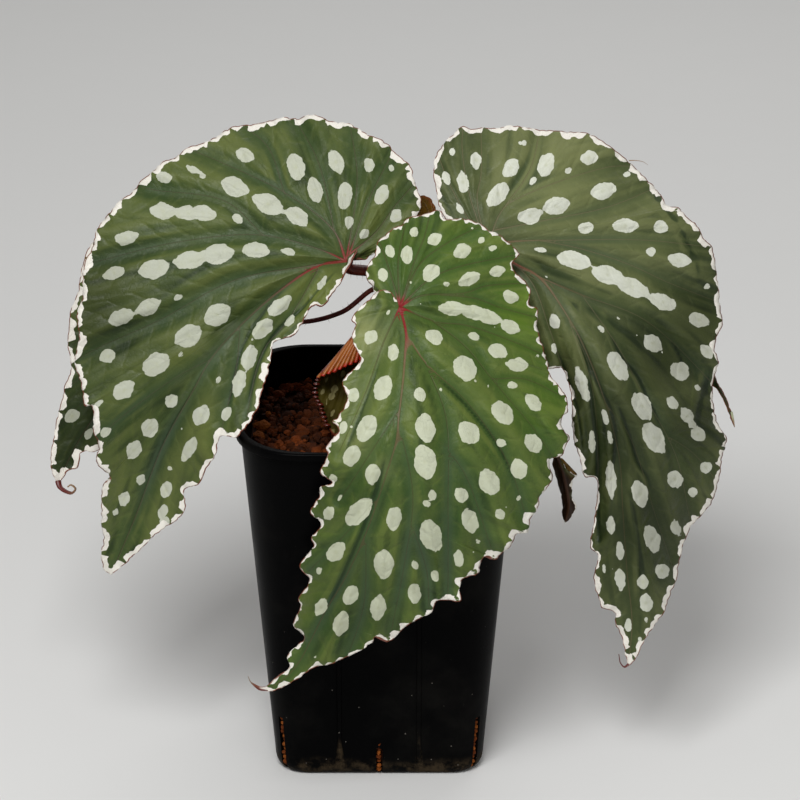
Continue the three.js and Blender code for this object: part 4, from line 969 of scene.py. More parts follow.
def draw_side(bm, leaf, side, rib, margin):
    """One half of a blade as a grid on the sheet, from the midrib to a margin. Returns its edge."""
    fan = leaf["margins"][side][0]
    rib_columns, fan_columns, rows = leaf["rib_columns"], leaf["fan_columns"][side], leaf["rows"][side]
    rib_share = np.linspace(0, 1, rib_columns + 1)
    fan_share = np.linspace(0, 1, fan_columns + 1)[1:]
    outline_share = np.concatenate([rib_share * fan, fan + fan_share * (1 - fan)])
    start_share = np.concatenate([1 - rib_share, np.zeros(fan_columns)])
    roots = at_share(rib, start_share)
    ends = at_share(margin, outline_share)
    v = np.linspace(0, 1, rows + 1) ** ROW_CROWDING
    grid = roots[:, None, :] + (ends - roots)[:, None, :] * v[None, :, None]
    grid[:, :, 2] = roots[:, None, 2] + (ends - roots)[:, None, 2] * (v[None, :] ** leaf["drop"])
    tuck = leaf.get("tuck", (0.0, 0.0))[side]
    grid[:, :, 2] -= tuck * smooth(outline_share, TUCK_FROM, 1.0)[:, None] * smooth(v, 0.0, 0.5)[None, :]
    half = bm.verts.layers.float["half"]
    for vert, i, j in new_grid(bm, len(roots) - 1, rows):
        vert.co = grid[i, j]
        vert[half] = side
    return ends


def spot_field(xy, spots, lines):
    """How far inside a spot each point lies, in mm (negative outside), and the distance to its middle."""
    centres = np.array([s[:2] for s in spots], float)
    ways = np.zeros((len(centres), 2))
    nearest = np.full(len(centres), np.inf)
    for line in lines:
        gap, way, _, _ = line_distance(centres, line)
        nearer = gap < nearest
        nearest[nearer] = gap[nearer]
        ways[nearer] = way[nearer]
    inside = np.full(len(xy), -SPOT_FAR)
    middle = np.full(len(xy), HEART_FAR)
    for (x, y, length, breadth), lie in zip(spots, ways):
        away = xy - (x, y)
        long_part = np.abs(away @ lie / (length / 2))
        cross_part = np.abs(away @ np.array([-lie[1], lie[0]]) / (breadth / 2))
        reach = (long_part ** SPOT_SQUARENESS + cross_part ** SPOT_SQUARENESS) ** (1 / SPOT_SQUARENESS)
        inside = np.maximum(inside, (1 - reach) * breadth / 2 * SHEET_UNIT)
        if breadth > HEART_WIDTH:
            middle = np.minimum(middle, np.linalg.norm(away, axis=1) * SHEET_UNIT)
    return inside, middle


def place_field(xy, places):
    """How strong the nearest of some soft round places is, each (x, y, reach, strength)."""
    field = np.zeros(len(xy))
    for x, y, reach, strength in places:
        field = np.maximum(field, strength * np.exp(-((xy - (x, y)) ** 2).sum(axis=1) / reach ** 2))
    return field


def fold_field(xy, vein, folds):
    """Creases (above 0), sunk and painted with shade, and the ridges beside them (below 0), raised and
    painted lighter: loose ones that follow the veins, and the drawn folds."""
    fold_depth_and_painted_light = np.zeros(len(xy))
    for strength, often, length in LOOSE_FOLDS:
        places = ((v * often, x / length, y / length) for v, (x, y) in zip(vein, xy))
        fold_depth_and_painted_light += [strength * noise.noise(Vector(place)) for place in places]
    fold_depth_and_painted_light *= smooth(vein, 0.4, 2.5)
    for strength, width, points in folds:
        line = spline(points, 6)
        gap, _, reach, side = line_distance(xy, line)
        off = gap * side * SHEET_UNIT / width
        fade = smooth(reach, 0, FOLD_FADE[0]) * smooth(walk(line)[-1] - reach, 0, FOLD_FADE[1]) * strength
        ridge = RIDGE_SHARE * np.exp(-((off - RIDGE_PLACE) / RIDGE_WIDTH) ** 2)
        fold_depth_and_painted_light += fade * (np.exp(-off ** 2) - ridge)
    return fold_depth_and_painted_light


def margin_widths(leaf, ends, seed):
    """How far the white runs in from an edge, in mm: uneven patches with bare breaks between them."""
    along = walk(ends)
    rng = random.Random(seed)
    shortest, longest = leaf.get("patch", PATCH_RUN)
    knots = []
    place = -rng.uniform(0, shortest)
    while place < along[-1]:
        stop = place + rng.uniform(shortest, longest)
        full = leaf.get("margin", MARGIN_REACH) * rng.uniform(*PATCH_REACH)
        knots.append((place, 0.0))
        place += PATCH_END
        while place < stop - PATCH_END:
            knots.append((place, full * rng.uniform(*PATCH_UNEVEN)))
            place += rng.uniform(*PATCH_STEP)
        knots.append((stop, 0.0))
        place = stop + rng.uniform(*PATCH_BREAK)
    width = np.interp(along, *zip(*knots))
    for x, y, reach, share in leaf.get("white_share", ()):
        width[np.hypot(ends[:, 0] - x, ends[:, 1] - y) < reach] *= share
    return width


def edge_fields(leaf, xy, halves, edges, seed):
    """The distance to the nearest margin, and how far inside its white each point lies, in mm."""
    root = np.asarray(leaf["midrib"][0][:2], float)
    from_root = np.linalg.norm(xy - root, axis=1) * SHEET_UNIT
    edge = np.full(len(xy), np.inf)
    margin = np.full(len(xy), -MARGIN_FAR)
    for number, ends in enumerate(edges):
        gap, _, reach, _ = line_distance(xy, ends[:, :2])
        gap = np.where((halves == number) | (from_root > OWN_EDGE_REACH), gap, np.inf)
        edge = np.minimum(edge, gap)
        width = np.interp(reach, walk(ends), margin_widths(leaf, ends, seed + str(number)))
        margin = np.maximum(margin, width - gap * SHEET_UNIT)
    return from_root, edge * SHEET_UNIT + leaf.get("rimless", 0.0), margin


def blade_fields(leaf, rib, xy, halves, edges, seed):
    """What the blade's looks and pleats depend on, at each point of the sheet, in mm."""
    lines = [rib[:, :2]] + [spline(v, 6) for v in leaf["veins"]]
    vein = np.full(len(xy), np.inf)
    walked, across, main, strong, flush_reach = np.zeros((5, len(xy)))
    for number, line in enumerate(lines):
        gap, _, reach, side = line_distance(xy, line)
        nearer = gap < vein
        vein[nearer] = gap[nearer]
        walked[nearer] = reach[nearer] * SHEET_UNIT
        across[nearer] = side[nearer]
        main[nearer] = 1.0 if number == 0 else SIDE_SHARE
        strong[nearer] = 0.0
        if number == 0:
            strong[nearer] = 1 - RIB_FADED * smooth(walked[nearer], *leaf.get("rib_fade", NO_FADE))
        if number - 1 in leaf.get("strong", ()):
            strong[nearer] = 1 - smooth(walked[nearer], *STRONG_FADE)
        flush_reach[nearer] = leaf.get("flush", FLUSH_REACH) * (1.0 if number == 0 else SIDE_FLUSH)
    vein *= SHEET_UNIT
    from_root, edge, margin = edge_fields(leaf, xy, halves, edges, seed)
    taper = VEIN_TAPER * np.where(main == 1.0, RIB_TAPER, 1.0)
    breadth = VEIN_FINE + (VEIN_BROAD - VEIN_FINE) * np.exp(-from_root / taper)
    spot, middle = spot_field(xy, leaf["spots"], lines)
    glow, pale, shade, cool = (place_field(xy, leaf.get(k, ())) for k in ("glow", "pale", "shade", "cool"))
    return dict(
        vein=vein, crest=smooth(vein, 0, PLEAT_REACH), edge=edge, margin=margin, spot=spot, middle=middle,
        vein_width=np.maximum(main, STRONG_SHARE * strong) * breadth, off_vein=vein * across, strong=strong,
        side_vein=(walked - SIDE_VEIN_SLANT * vein) / SIDE_VEIN_STEP,
        flush=np.exp(-(from_root / flush_reach) ** 1.3), glow=glow, pale=pale, shade=shade,
        cool=cool * np.exp(-(vein / COOL_REACH) ** 2), fold_depth_and_painted_light=fold_field(xy, vein, leaf.get("folds", ())))


def waves(drawn, height, length, seed):
    """Gentle ups and downs over a blade, in mm."""
    return np.array([height * noise.noise(Vector((x / length, y / length, seed))) for x, y, _ in drawn])


def make_blade(name, leaf, materials):
    """A blade: drawn flat on the sheet, pleated and ruffled there, then set in its place."""
    rib = spline(leaf["midrib"], 24)
    bm = bmesh.new()
    bm.verts.layers.float.new("half")
    edges = []
    for side, (_, points) in enumerate(leaf["margins"]):
        margin = spline([leaf["midrib"][-1]] + points, 8)
        turn = np.cross(rib[-1, :2] - rib[0, :2], margin[len(margin) // 2, :2] - rib[0, :2])
        margin = toothed(margin, leaf["tooth"] * (1 if turn < 0 else -1), name + str(side))
        edges.append(draw_side(bm, leaf, side, rib, margin))
    bmesh.ops.remove_doubles(bm, verts=bm.verts, dist=0.02)
    bmesh.ops.dissolve_degenerate(bm, edges=bm.edges, dist=0.005)
    bmesh.ops.recalc_face_normals(bm, faces=bm.faces)
    mesh = bpy.data.meshes.new(name + "_blade")
    bm.to_mesh(mesh)
    bm.free()

    drawn = np.empty(len(mesh.vertices) * 3)
    mesh.vertices.foreach_get("co", drawn)
    drawn = drawn.reshape(-1, 3)
    halves = np.empty(len(drawn))
    mesh.attributes["half"].data.foreach_get("value", halves)
    fields = blade_fields(leaf, rib, drawn[:, :2], halves, edges, name)
    crest = fields["crest"]
    drawn[:, 2] += leaf["pleat"] * PLEAT_SHOWN * crest - FOLD_DEPTH * fields["fold_depth_and_painted_light"]
    near_edge = smooth(RUFFLE_REACH - fields["edge"], 0, RUFFLE_REACH)
    drawn[:, 2] += waves(drawn, WAVE_HEIGHT, WAVE_LENGTH, 3.0)
    drawn[:, 2] += waves(drawn, RUFFLE_HEIGHT, RUFFLE_LENGTH, 7.0) * near_edge
    herring = np.abs((fields["side_vein"] % 1.0) - 0.5) * 2
    drawn[:, 2] -= HERRING_DEPTH * smooth(herring, 0.55, 1.0) * smooth(crest, 0.05, 0.5)
    mesh.vertices.foreach_set("co", on_sheet(drawn).ravel())
    mesh.update()
    turn_outwards(mesh, mesh.polygons, -SHEET_OUT if leaf.get("faces_back") else SHEET_OUT)
    keep_fields(mesh, fields)
    mesh.polygons.foreach_set("use_smooth", [True] * len(mesh.polygons))
    for material in materials[leaf["look"]]:
        mesh.materials.append(material)
    blade = add_object(mesh, name + "_blade", name)
    thicken(blade, BLADE_SHOWN, material_offset=1, material_offset_rim=1)
    return blade


# ---------------------------------------------------------------- small parts of the leaves
# The young leaf is folded: its inside runs from the lower margin up to the fold, and its pleated outside
# comes down in front from the fold to the flap's edge. rows: where a row of it starts (at the lower line,
# or at the fold), its share of the way to the next line, and its height above the sheet. gather: how the
# pleats crowd along the fold. tip_shift: how far they reach past the flap's edge. lie: the line that its
# spots follow. fringe: the row of small blunt teeth down its margin. stalk_run: its stalk's straight end.
YOUNG = dict(
    lower=[(372, 434), (352, 436), (336, 437), (328, 427), (321, 408), (315.5, 394)],
    fold=[(366, 322), (355, 334), (345, 346), (336, 357), (327, 367), (318, 377)],
    flap=[(361.5, 359), (353, 363), (345, 366), (336, 370.5), (327, 373.5), (317.5, 377.5)],
    rows=[("lower", 0.0, 14.0), ("lower", 0.31, 14.5), ("lower", 0.62, 14.5), ("lower", 0.93, 15.5),
          ("fold", 0.0, 18.5), ("fold", 0.12, 21.0), ("fold", 0.56, 23.0), ("fold", 1.0, 24.0)],
    columns=200, grid_rows=64, gather=4.0, pleats=8, ripple=0.75, tip_shift=(-0.4, 1.3), fold_row=4,
    thickness=0.5, stalk_end=(364, 392, 14), stalk_run=8.8, lie=[(320.0, 420.0), (352.0, 360.0)],
    spots=[(334.5, 389, 10, 7), (331.5, 396.5, 8, 7), (322.5, 391.5, 6, 4), (332.5, 413, 8, 4.5),
           (326.5, 400, 2, 1.5), (326.5, 404, 3, 2), (333, 431, 6, 5), (327, 379, 6, 3), (343, 374, 8, 5)],
    fringe=[(318, 380, 17), (315.5, 388, 16), (315.5, 396, 15.5), (320, 404, 15.5), (323, 414, 15),
            (327, 425, 15)],
    beads=12)


def young_line(name, shares):
    """Points at shares along one of the young leaf's lines, at no height."""
    points = YOUNG[name]
    return at_share(spline(np.column_stack([points, np.zeros(len(points))]), 12), shares)


def make_young_leaf(outside, inside):
    """The folded young leaf as one sheet, from its lower margin over the fold to the flap's edge."""
    columns, rows = YOUNG["columns"], YOUNG["grid_rows"]
    u = np.linspace(0, 1, columns + 1)
    lines = dict(lower=young_line("lower", u), flap=young_line("flap", u),
                 fold=young_line("fold", u ** YOUNG["gather"]))
    ends = {"lower": ("lower", "fold"), "fold": ("fold", "flap")}
    knots = []
    for start, share, height in YOUNG["rows"]:
        a, b = (lines[k] for k in ends[start])
        knot = a + (b - a) * share
        knot[:, 2] = height
        knots.append(knot)
    last = len(knots) - 1
    place = np.linspace(0, last, rows + 1)
    wave = np.cos(2 * math.pi * YOUNG["pleats"] * u)
    tips = 0.5 + 0.5 * wave
    bm = bmesh.new()
    marks = []
    for vert, i, j in new_grid(bm, columns, rows):
        k = min(int(place[j]), last - 1)
        part = place[j] - k
        part = part * part * (3 - 2 * part) * 0.5 + part * 0.5
        at = knots[k][i] * (1 - part) + knots[k + 1][i] * part
        front = smooth(place[j], YOUNG["fold_row"], last)
        at[2] += YOUNG["ripple"] * wave[i] * (0.2 + 1.1 * front)
        at[:2] += np.array(YOUNG["tip_shift"]) * tips[i] * smooth(place[j], last - 1, last)
        vert.co = at
        marks.append((*vert.co, tips[i], place[j], u[i]))
    *drawn, crest, row, across = np.array(marks).T
    drawn = np.stack(drawn, axis=1)
    mesh = bpy.data.meshes.new("leaf_young_blade")
    bm.to_mesh(mesh)
    bm.free()
    spot, _ = spot_field(drawn[:, :2], YOUNG["spots"], [np.array(YOUNG["lie"])])
    on_inside = row < YOUNG["fold_row"]
    edge = np.minimum(np.minimum((last - row) * 3.0, row * 6.0), across * 5 + on_inside * 9)
    mesh.vertices.foreach_set("co", on_sheet(drawn).ravel())
    mesh.update()
    keep_fields(mesh, dict(crest=crest, spot=spot, edge=edge))
    mesh.polygons.foreach_set("use_smooth", [True] * len(mesh.polygons))
    mesh.materials.append(inside)
    mesh.materials.append(outside)
    turn_outwards(mesh, mesh.polygons[: columns * 8], SHEET_OUT)
    for face in mesh.polygons:
        face.material_index = 1 if row[face.vertices[0]] > YOUNG["fold_row"] - 0.1 else 0
    leaf = add_object(mesh, "leaf_young_blade", "leaf_young")
    thicken(leaf, YOUNG["thickness"])


TOOTH_SQUASH = Vector((1.35, 0.8, 0.5))


def make_young_fringe():
    """The row of small blunt teeth down the folded leaf's margin."""
    bm = bmesh.new()
    skin = new_material("young teeth", Base_Color=YOUNG_TEETH, Roughness=0.28, Specular_IOR_Level=0.6)[0]
    line = at_share(spline(YOUNG["fringe"], 8), np.linspace(0, 1, YOUNG["beads"]))
    for number, place in enumerate(on_sheet(line)):
        made = bmesh.ops.create_icosphere(bm, subdivisions=2, radius=1)["verts"]
        size = (0.85 + 0.2 * math.sin(number * 2.4)) * MM
        for vert in made:
            knob = 1 + 0.2 * noise.noise(vert.co * 1.7 + Vector((number, 0, 0)))
            vert.co = Vector(place) + vert.co * TOOTH_SQUASH * knob * size
    finish_mesh(bm, "leaf_young_fringe", skin)


def tube(bm, path, radii, sides, flatten=1.0):
    """A round tube along a path in metres, closed at both ends."""
    path = np.asarray(path, float)
    count = len(path)
    ways = np.gradient(path, axis=0)
    ways /= np.linalg.norm(ways, axis=1)[:, None]
    normal = Vector((0, 0, 1)).cross(Vector(ways[0]))
    if normal.length < 0.1:
        normal = Vector((1, 0, 0))
    normal.normalize()
    frames = []
    for way in ways:
        way = Vector(way)
        normal = (normal - normal.dot(way) * way).normalized()
        frames.append((normal.copy(), way.cross(normal)))
    made = new_grid(bm, sides, count - 1)
    for vert, i, j in made:
        angle = 2 * math.pi * i / sides
        a, b = frames[j]
        vert.co = Vector(path[j]) + (math.cos(angle) * a + flatten * math.sin(angle) * b) * float(radii[j])
    bmesh.ops.remove_doubles(bm, verts=[vert for vert, _, _ in made], dist=1e-7)
    for end in (0, count - 1):
        ring = [vert for vert, _, j in made if j == end and vert.is_valid]
        edges = {e for v in ring for e in v.link_edges if e.is_boundary}
        bmesh.ops.holes_fill(bm, edges=list(edges), sides=0)


def hair(bm, root, way, length, radius):
    """A fine tapering hair of three sides."""
    made = bmesh.ops.create_cone(bm, cap_ends=True, segments=3, radius1=radius, radius2=radius * 0.1,
                                 depth=length)["verts"]
    turn = Vector(way).to_track_quat("Z", "Y").to_matrix().to_4x4()
    stand = Matrix.Translation((0, 0, length / 2))
    bmesh.ops.transform(bm, verts=made, matrix=Matrix.Translation(root) @ turn @ stand)


DEEP_RED = (0.10, 0.010, 0.006, 1)
TAN = (0.24, 0.15, 0.08, 1)
PALE_TIP = (0.36, 0.38, 0.24, 1)
THREADS = {
    "tip_thread_centre": dict(radii=(0.55, 0.12), colours=(DEEP_RED, TAN), by=[
        (268, 690, 24), (259.5, 689.5, 24), (254, 685.5, 24), (250, 681, 24), (248, 676, 24.5)]),
    "tip_curl_back_left": dict(radii=(1.2, 0.35), colours=(DEEP_RED, TAN), by=[
        (58, 481, -15), (60, 487, -14), (66, 491.5, -12.5), (72, 493, -11), (75.5, 489, -10), (71, 485, -9.5),
        (67.5, 487, -9.5)]),
    "tip_thread_back_right": dict(radii=(0.8, 0.15), colours=(PALE_TIP, TAN), by=[
        (731, 412, -31), (733, 419, -31), (734.6, 427, -31)]),
    "margin_bristle_right": dict(radii=(0.32, 0.07), colours=(TAN, TAN), by=[
        (629, 160.5, -15.5), (636, 160.5, -15), (643, 161.8, -14.5), (648, 165, -14)]),
    "tip_curl_right": dict(radii=(0.6, 0.25), colours=(DEEP_RED, DEEP_RED), by=[
        (628.5, 664, 0.3), (624.5, 667, 0.8), (620.5, 663, 1.2), (618.8, 654, 1.6)]),
}


def make_threads():
    """The drawn-out tips, their curls and one bristle, each a tapering thread."""
    for name, plan in THREADS.items():
        bm = bmesh.new()
        path = on_sheet(spline(plan["by"], 8))
        radii = np.linspace(*plan["radii"], len(path)) * MM
        tube(bm, path, radii, 8, 0.6)
        bmesh.ops.recalc_face_normals(bm, faces=bm.faces)
        along = bm.verts.layers.float.new("along")
        for vert in bm.verts:
            vert[along] = np.linalg.norm(path - np.array(vert.co), axis=1).argmin() / (len(path) - 1)
        skin, tree, shader, _ = new_material(name, Roughness=0.4)
        first, last = plan["colours"]
        link(tree, mix_colour(tree, ramp_up(tree, attribute(tree, "along"), 0.3, 0.8), first, last),
             shader.inputs["Base Color"])
        finish_mesh(bm, name, skin)


# ---------------------------------------------------------------- stem and stalks
STALKS = {  # radius, its foot from the stem's middle in mm, and its way on the sheet
    "leaf_left": (2.3, (-2, 2), [(384, 345, -8), (384, 278, -5)]),
    "leaf_centre": (2.4, (1, -2.5), [(392, 372, 8), (396, 325, 26)]),
    "leaf_right": (2.3, (2.6, 0.5), [(405, 360, -10), (450, 280, -6)]),
    "leaf_back_left": (1.0, (-3.4, 0.5), [(383, 330, -16), (377, 289, -13), (342, 312, -15),
                                          (300, 322, -19)]),
    "leaf_back_right": (1.3, (2.4, 2.6), [(430, 350, -26), (520, 268, -34), (600, 246, -38)]),
    "leaf_back_middle": (1.8, (0, 3), [(400, 365, -17), (424, 290, -14)]),
    "leaf_small": (0.9, (3.4, -2), [(420, 385, 2), (480, 345, 8), (530, 385, 10)]),
    "leaf_young": (1.3, (-2.4, -2.4), [(378, 408, -4)]),
}
STALK_FOOT = FILL_EDGE - 4
STALK_RISE = 14
STALK_RUN = 8.2  # the straight run before a blade
STALK_END = 0.3  # how far below the middle of a blade it stops
STALK_SWELL = 0.35
STALK_KNOBS = 0.04
HAIR_DENSITY = 1.1
HAIR_DEPTH = 0.97  # where a hair's root is, as a share of the stalk's radius
HAIR_RADIUS = 0.07
HAIR_LENGTH = (0.7, 1.8)
ROOT_REACH = 7.0
STIPULE_HALF = 3.3
STIPULE_OUT = 4.6
STIPULE_THICKNESS = 0.25
STIPULES = [(-6, -5, 16), (8, -4, 13), (-7, 6, 14), (7, 8, 12)]  # x, y from the stem, height


def blade_root(name, blade):
    """Where a stalk meets its blade, and the blade's outward direction there."""
    root = Vector(on_sheet([LEAVES[name]["midrib"][0]])[0])
    way = Vector()
    for face in blade.data.polygons:
        if (face.center - root).length < ROOT_REACH * MM:
            way += face.normal * face.area
    return root, way.normalized()


def make_stem(blades, skin, papery):
    """The short stem with all the stalks, and their hairs."""
    rng = random.Random(11)
    bm = bmesh.new()
    hairs = bmesh.new()
    for name, (radius, root, by) in STALKS.items():
        run = STALK_RUN
        if name == "leaf_young":
            end = Vector(on_sheet([YOUNG["stalk_end"]])[0])
            run = YOUNG["stalk_run"]
        else:
            end, way = blade_root(name, blades[name])
        if name in ("leaf_young", "leaf_small"):
            way = Vector(SHEET_OUT)
        foot = Vector((STEM_PLACE.x + root[0], STEM_PLACE.y + root[1], STALK_FOOT)) * MM
        rise = foot + Vector((0, 0, STALK_RISE * MM))
        path = spline([foot, rise, *on_sheet(by), end - way * run * MM, end - way * STALK_END * MM], 14)
        share = np.linspace(0, 1, len(path))
        swell = 1.12 - 0.32 * share + STALK_SWELL * smooth(share, 0.965, 1.0)
        knobs = np.array([STALK_KNOBS * noise.noise(Vector(p) * 140) for p in path])
        tube(bm, path, radius * MM * (swell + knobs), 18)
        for _ in range(int(len(path) * radius * HAIR_DENSITY)):
            k = rng.randrange(6, len(path) - 3)
            along = Vector(path[k + 1]) - Vector(path[k])
            out = along.orthogonal().normalized()
            out.rotate(Matrix.Rotation(rng.uniform(0, 2 * math.pi), 3, along))
            base = Vector(path[k]) + out * float(radius * MM * swell[k] * HAIR_DEPTH)
            lean = (out + along.normalized() * rng.uniform(-0.3, 0.5)).normalized()
            hair(hairs, base, lean, rng.uniform(*HAIR_LENGTH) * MM, HAIR_RADIUS * MM)
    heights = np.linspace(FILL_EDGE - STEM_DEPTH_SHOWN, STEM_TOP, 26)
    centre = [(STEM_PLACE.x * MM, STEM_PLACE.y * MM, z * MM) for z in heights]
    crown = [1.4 * smooth(z, STEM_TOP - 6, STEM_TOP) for z in heights]
    rings = [STEM_HALF + 0.5 * math.sin(z * 1.9) - less for z, less in zip(heights, crown)]
    tube(bm, centre, np.array(rings) * MM, 28)
    bmesh.ops.recalc_face_normals(bm, faces=bm.faces)
    finish_mesh(bm, "stem_stalks", skin, "stem")
    finish_mesh(hairs, "stem_hairs", papery)
    make_stipules(papery)


def make_stipules(papery):
    """Thin papery scales, cupped round the stem and drawn to a point."""
    bm = bmesh.new()
    columns, rows = 10, 22
    for x, y, height in STIPULES:
        out = Vector((x, y)).normalized()
        side = Vector((-out.y, out.x))
        made = bmesh.ops.create_grid(bm, x_segments=columns, y_segments=rows, size=1)["verts"]
        for vert in made:
            across = vert.co.x
            up = (vert.co.y + 1) / 2
            half = STIPULE_HALF * math.sin(math.pi * min(1.0, 0.28 + 0.72 * up)) ** 0.8
            bulge = STIPULE_OUT + 1.6 * up - 2.6 * up * up - 1.1 * across * across
            ripple = 0.25 * noise.noise(Vector((x + across * 2, y, up * 5)))
            flat = STEM_PLACE + out * (bulge + ripple) + side * (across * half)
            vert.co = Vector((flat.x, flat.y, FILL_EDGE + 5 + up * (height + 3))) * MM
    bmesh.ops.remove_doubles(bm, verts=bm.verts, dist=1e-6)
    bmesh.ops.recalc_face_normals(bm, faces=bm.faces)
    thicken(finish_mesh(bm, "stem_stipules", papery), STIPULE_THICKNESS, offset=0)


PAPER_DARK = (0.20, 0.055, 0.030, 1)
PAPER_PALE = (0.42, 0.21, 0.12, 1)


def make_papery_material():
    """Dry brown skin of the stipules and the hairs."""
    material, tree, shader, place = new_material("papery brown", Roughness=0.7)
    tone = ramp_up(tree, noise_at(tree, place, 260, 4.0), 0.3, 0.7)
    colour = mix_colour(tree, tone, PAPER_DARK, PAPER_PALE)
    link(tree, colour, shader.inputs["Base Color"])
    add_bump(tree, shader, noise_at(tree, place, 900, 3.0), 0.5, 0.0003)
    return material


# ---------------------------------------------------------------- pot
PLASTIC_BLACK = (0.0014, 0.0014, 0.0015, 1)
PLASTIC_DUST = (0.028, 0.026, 0.022, 1)
LIME_BROWN = (0.105, 0.074, 0.042, 1)
SPECK_PALE = (0.34, 0.31, 0.27, 1)
FACE_COLUMNS = (4.0, 8.0, 11.5)
CORNER_COLUMNS = 6
RIB_CLEAR = 1.5
SQUEEZED = (0.985, 0.992, 1.0)  # the last columns of a ring too small for its ribs
EDGE_BEVEL = 0.22
BEVEL_FROM = math.radians(38)


def corner_radius(half, z):
    share = min(max(z / POT_HEIGHT, 0.0), 1.0)
    return min(CORNER_FOOT + (CORNER_TOP - CORNER_FOOT) * share, half * 0.9)


def wall_half(z):
    share = (z - FOOT_HEIGHT) / (POT_HEIGHT - FOOT_HEIGHT)
    return FOOT_HALF + (WALL_TOP_HALF - FOOT_HALF) * share


def square_ring(half, radius):
    """Points round a square with rounded corners, with columns at its ribs and slits."""
    flat = half - radius
    slit = SLIT_WIDTH / 2
    rib = RIB_WIDTH / 2
    inner = [0, slit, *FACE_COLUMNS, RIB_OFFSET - rib - RIB_EDGE, RIB_OFFSET - rib,
             RIB_OFFSET + rib, RIB_OFFSET + rib + RIB_EDGE]
    if flat > RIB_OFFSET + RIB_CLEAR:
        inner += [inner[-1] + (flat - inner[-1]) * k / 3 for k in (1, 2, 3)]
    else:
        inner = [x * flat / (RIB_OFFSET + RIB_CLEAR) for x in inner] + [flat * k for k in SQUEEZED]
    face = [-x for x in reversed(inner[1:])] + inner[1:]
    gape = math.asin(min(0.9, slit / max(radius, slit * 1.2)))
    corner = [(math.pi / 4 - gape) * k / CORNER_COLUMNS for k in range(1, CORNER_COLUMNS + 1)]
    corner += [math.pi / 2 - a for a in reversed(corner)]
    points = []
    on_rib = []
    for quarter in range(4):
        turn = Matrix.Rotation(quarter * math.pi / 2, 2)
        for x in face:
            points.append(turn @ Vector((x, -half)))
            on_rib.append(abs(abs(x) - RIB_OFFSET) < rib + 0.01)
        for angle in corner[:-1]:
            points.append(turn @ Vector((flat + radius * math.sin(angle), -flat - radius * math.cos(angle))))
            on_rib.append(False)
    return points, on_rib


def draw_rings(bm, rings, ribs=False):
    """A grid whose rows are rounded squares, one for each (half width, z)."""
    table = [square_ring(half, corner_radius(half, z)) for half, z in rings]
    count = len(table[0][0])
    made = new_grid(bm, count, len(rings) - 1)
    for vert, i, j in made:
        i %= count
        points, on_rib = table[j]
        z = rings[j][1]
        point = points[i].copy()
        if ribs and on_rib[i] and FOOT_HEIGHT + RIB_END < z < POT_HEIGHT - RIM_BAND - RIB_END:
            point += Matrix.Rotation((i // (count // 4)) * math.pi / 2, 2) @ Vector((0, -RIB_PROUD))
        vert.co = Vector((point.x, point.y, z)) * MM
    bmesh.ops.remove_doubles(bm, verts=[vert for vert, _, _ in made], dist=1e-6)


def cut_slits(bm):
    """Opens the slits at the corners and in the middle of each face."""
    doomed = []
    for face in bm.faces:
        centre = face.calc_center_median() / MM
        across = min(abs(centre.x), abs(centre.y))
        reach = max(abs(centre.x), abs(centre.y))
        diagonal = abs(abs(centre.x) - abs(centre.y)) / math.sqrt(2)
        on_face = across < SLIT_WIDTH / 2 and centre.z < FACE_SLIT_HEIGHT
        on_face = on_face and reach > FOOT_HALF - FACE_SLIT_DEPTH
        on_corner = diagonal < SLIT_WIDTH / 2 and centre.z < CORNER_SLIT_HEIGHT
        on_corner = on_corner and across > FOOT_HALF - CORNER_INSET - CORNER_SLIT_DEPTH
        if on_face or on_corner:
            doomed.append(face)
    bmesh.ops.delete(bm, geom=doomed, context="FACES")


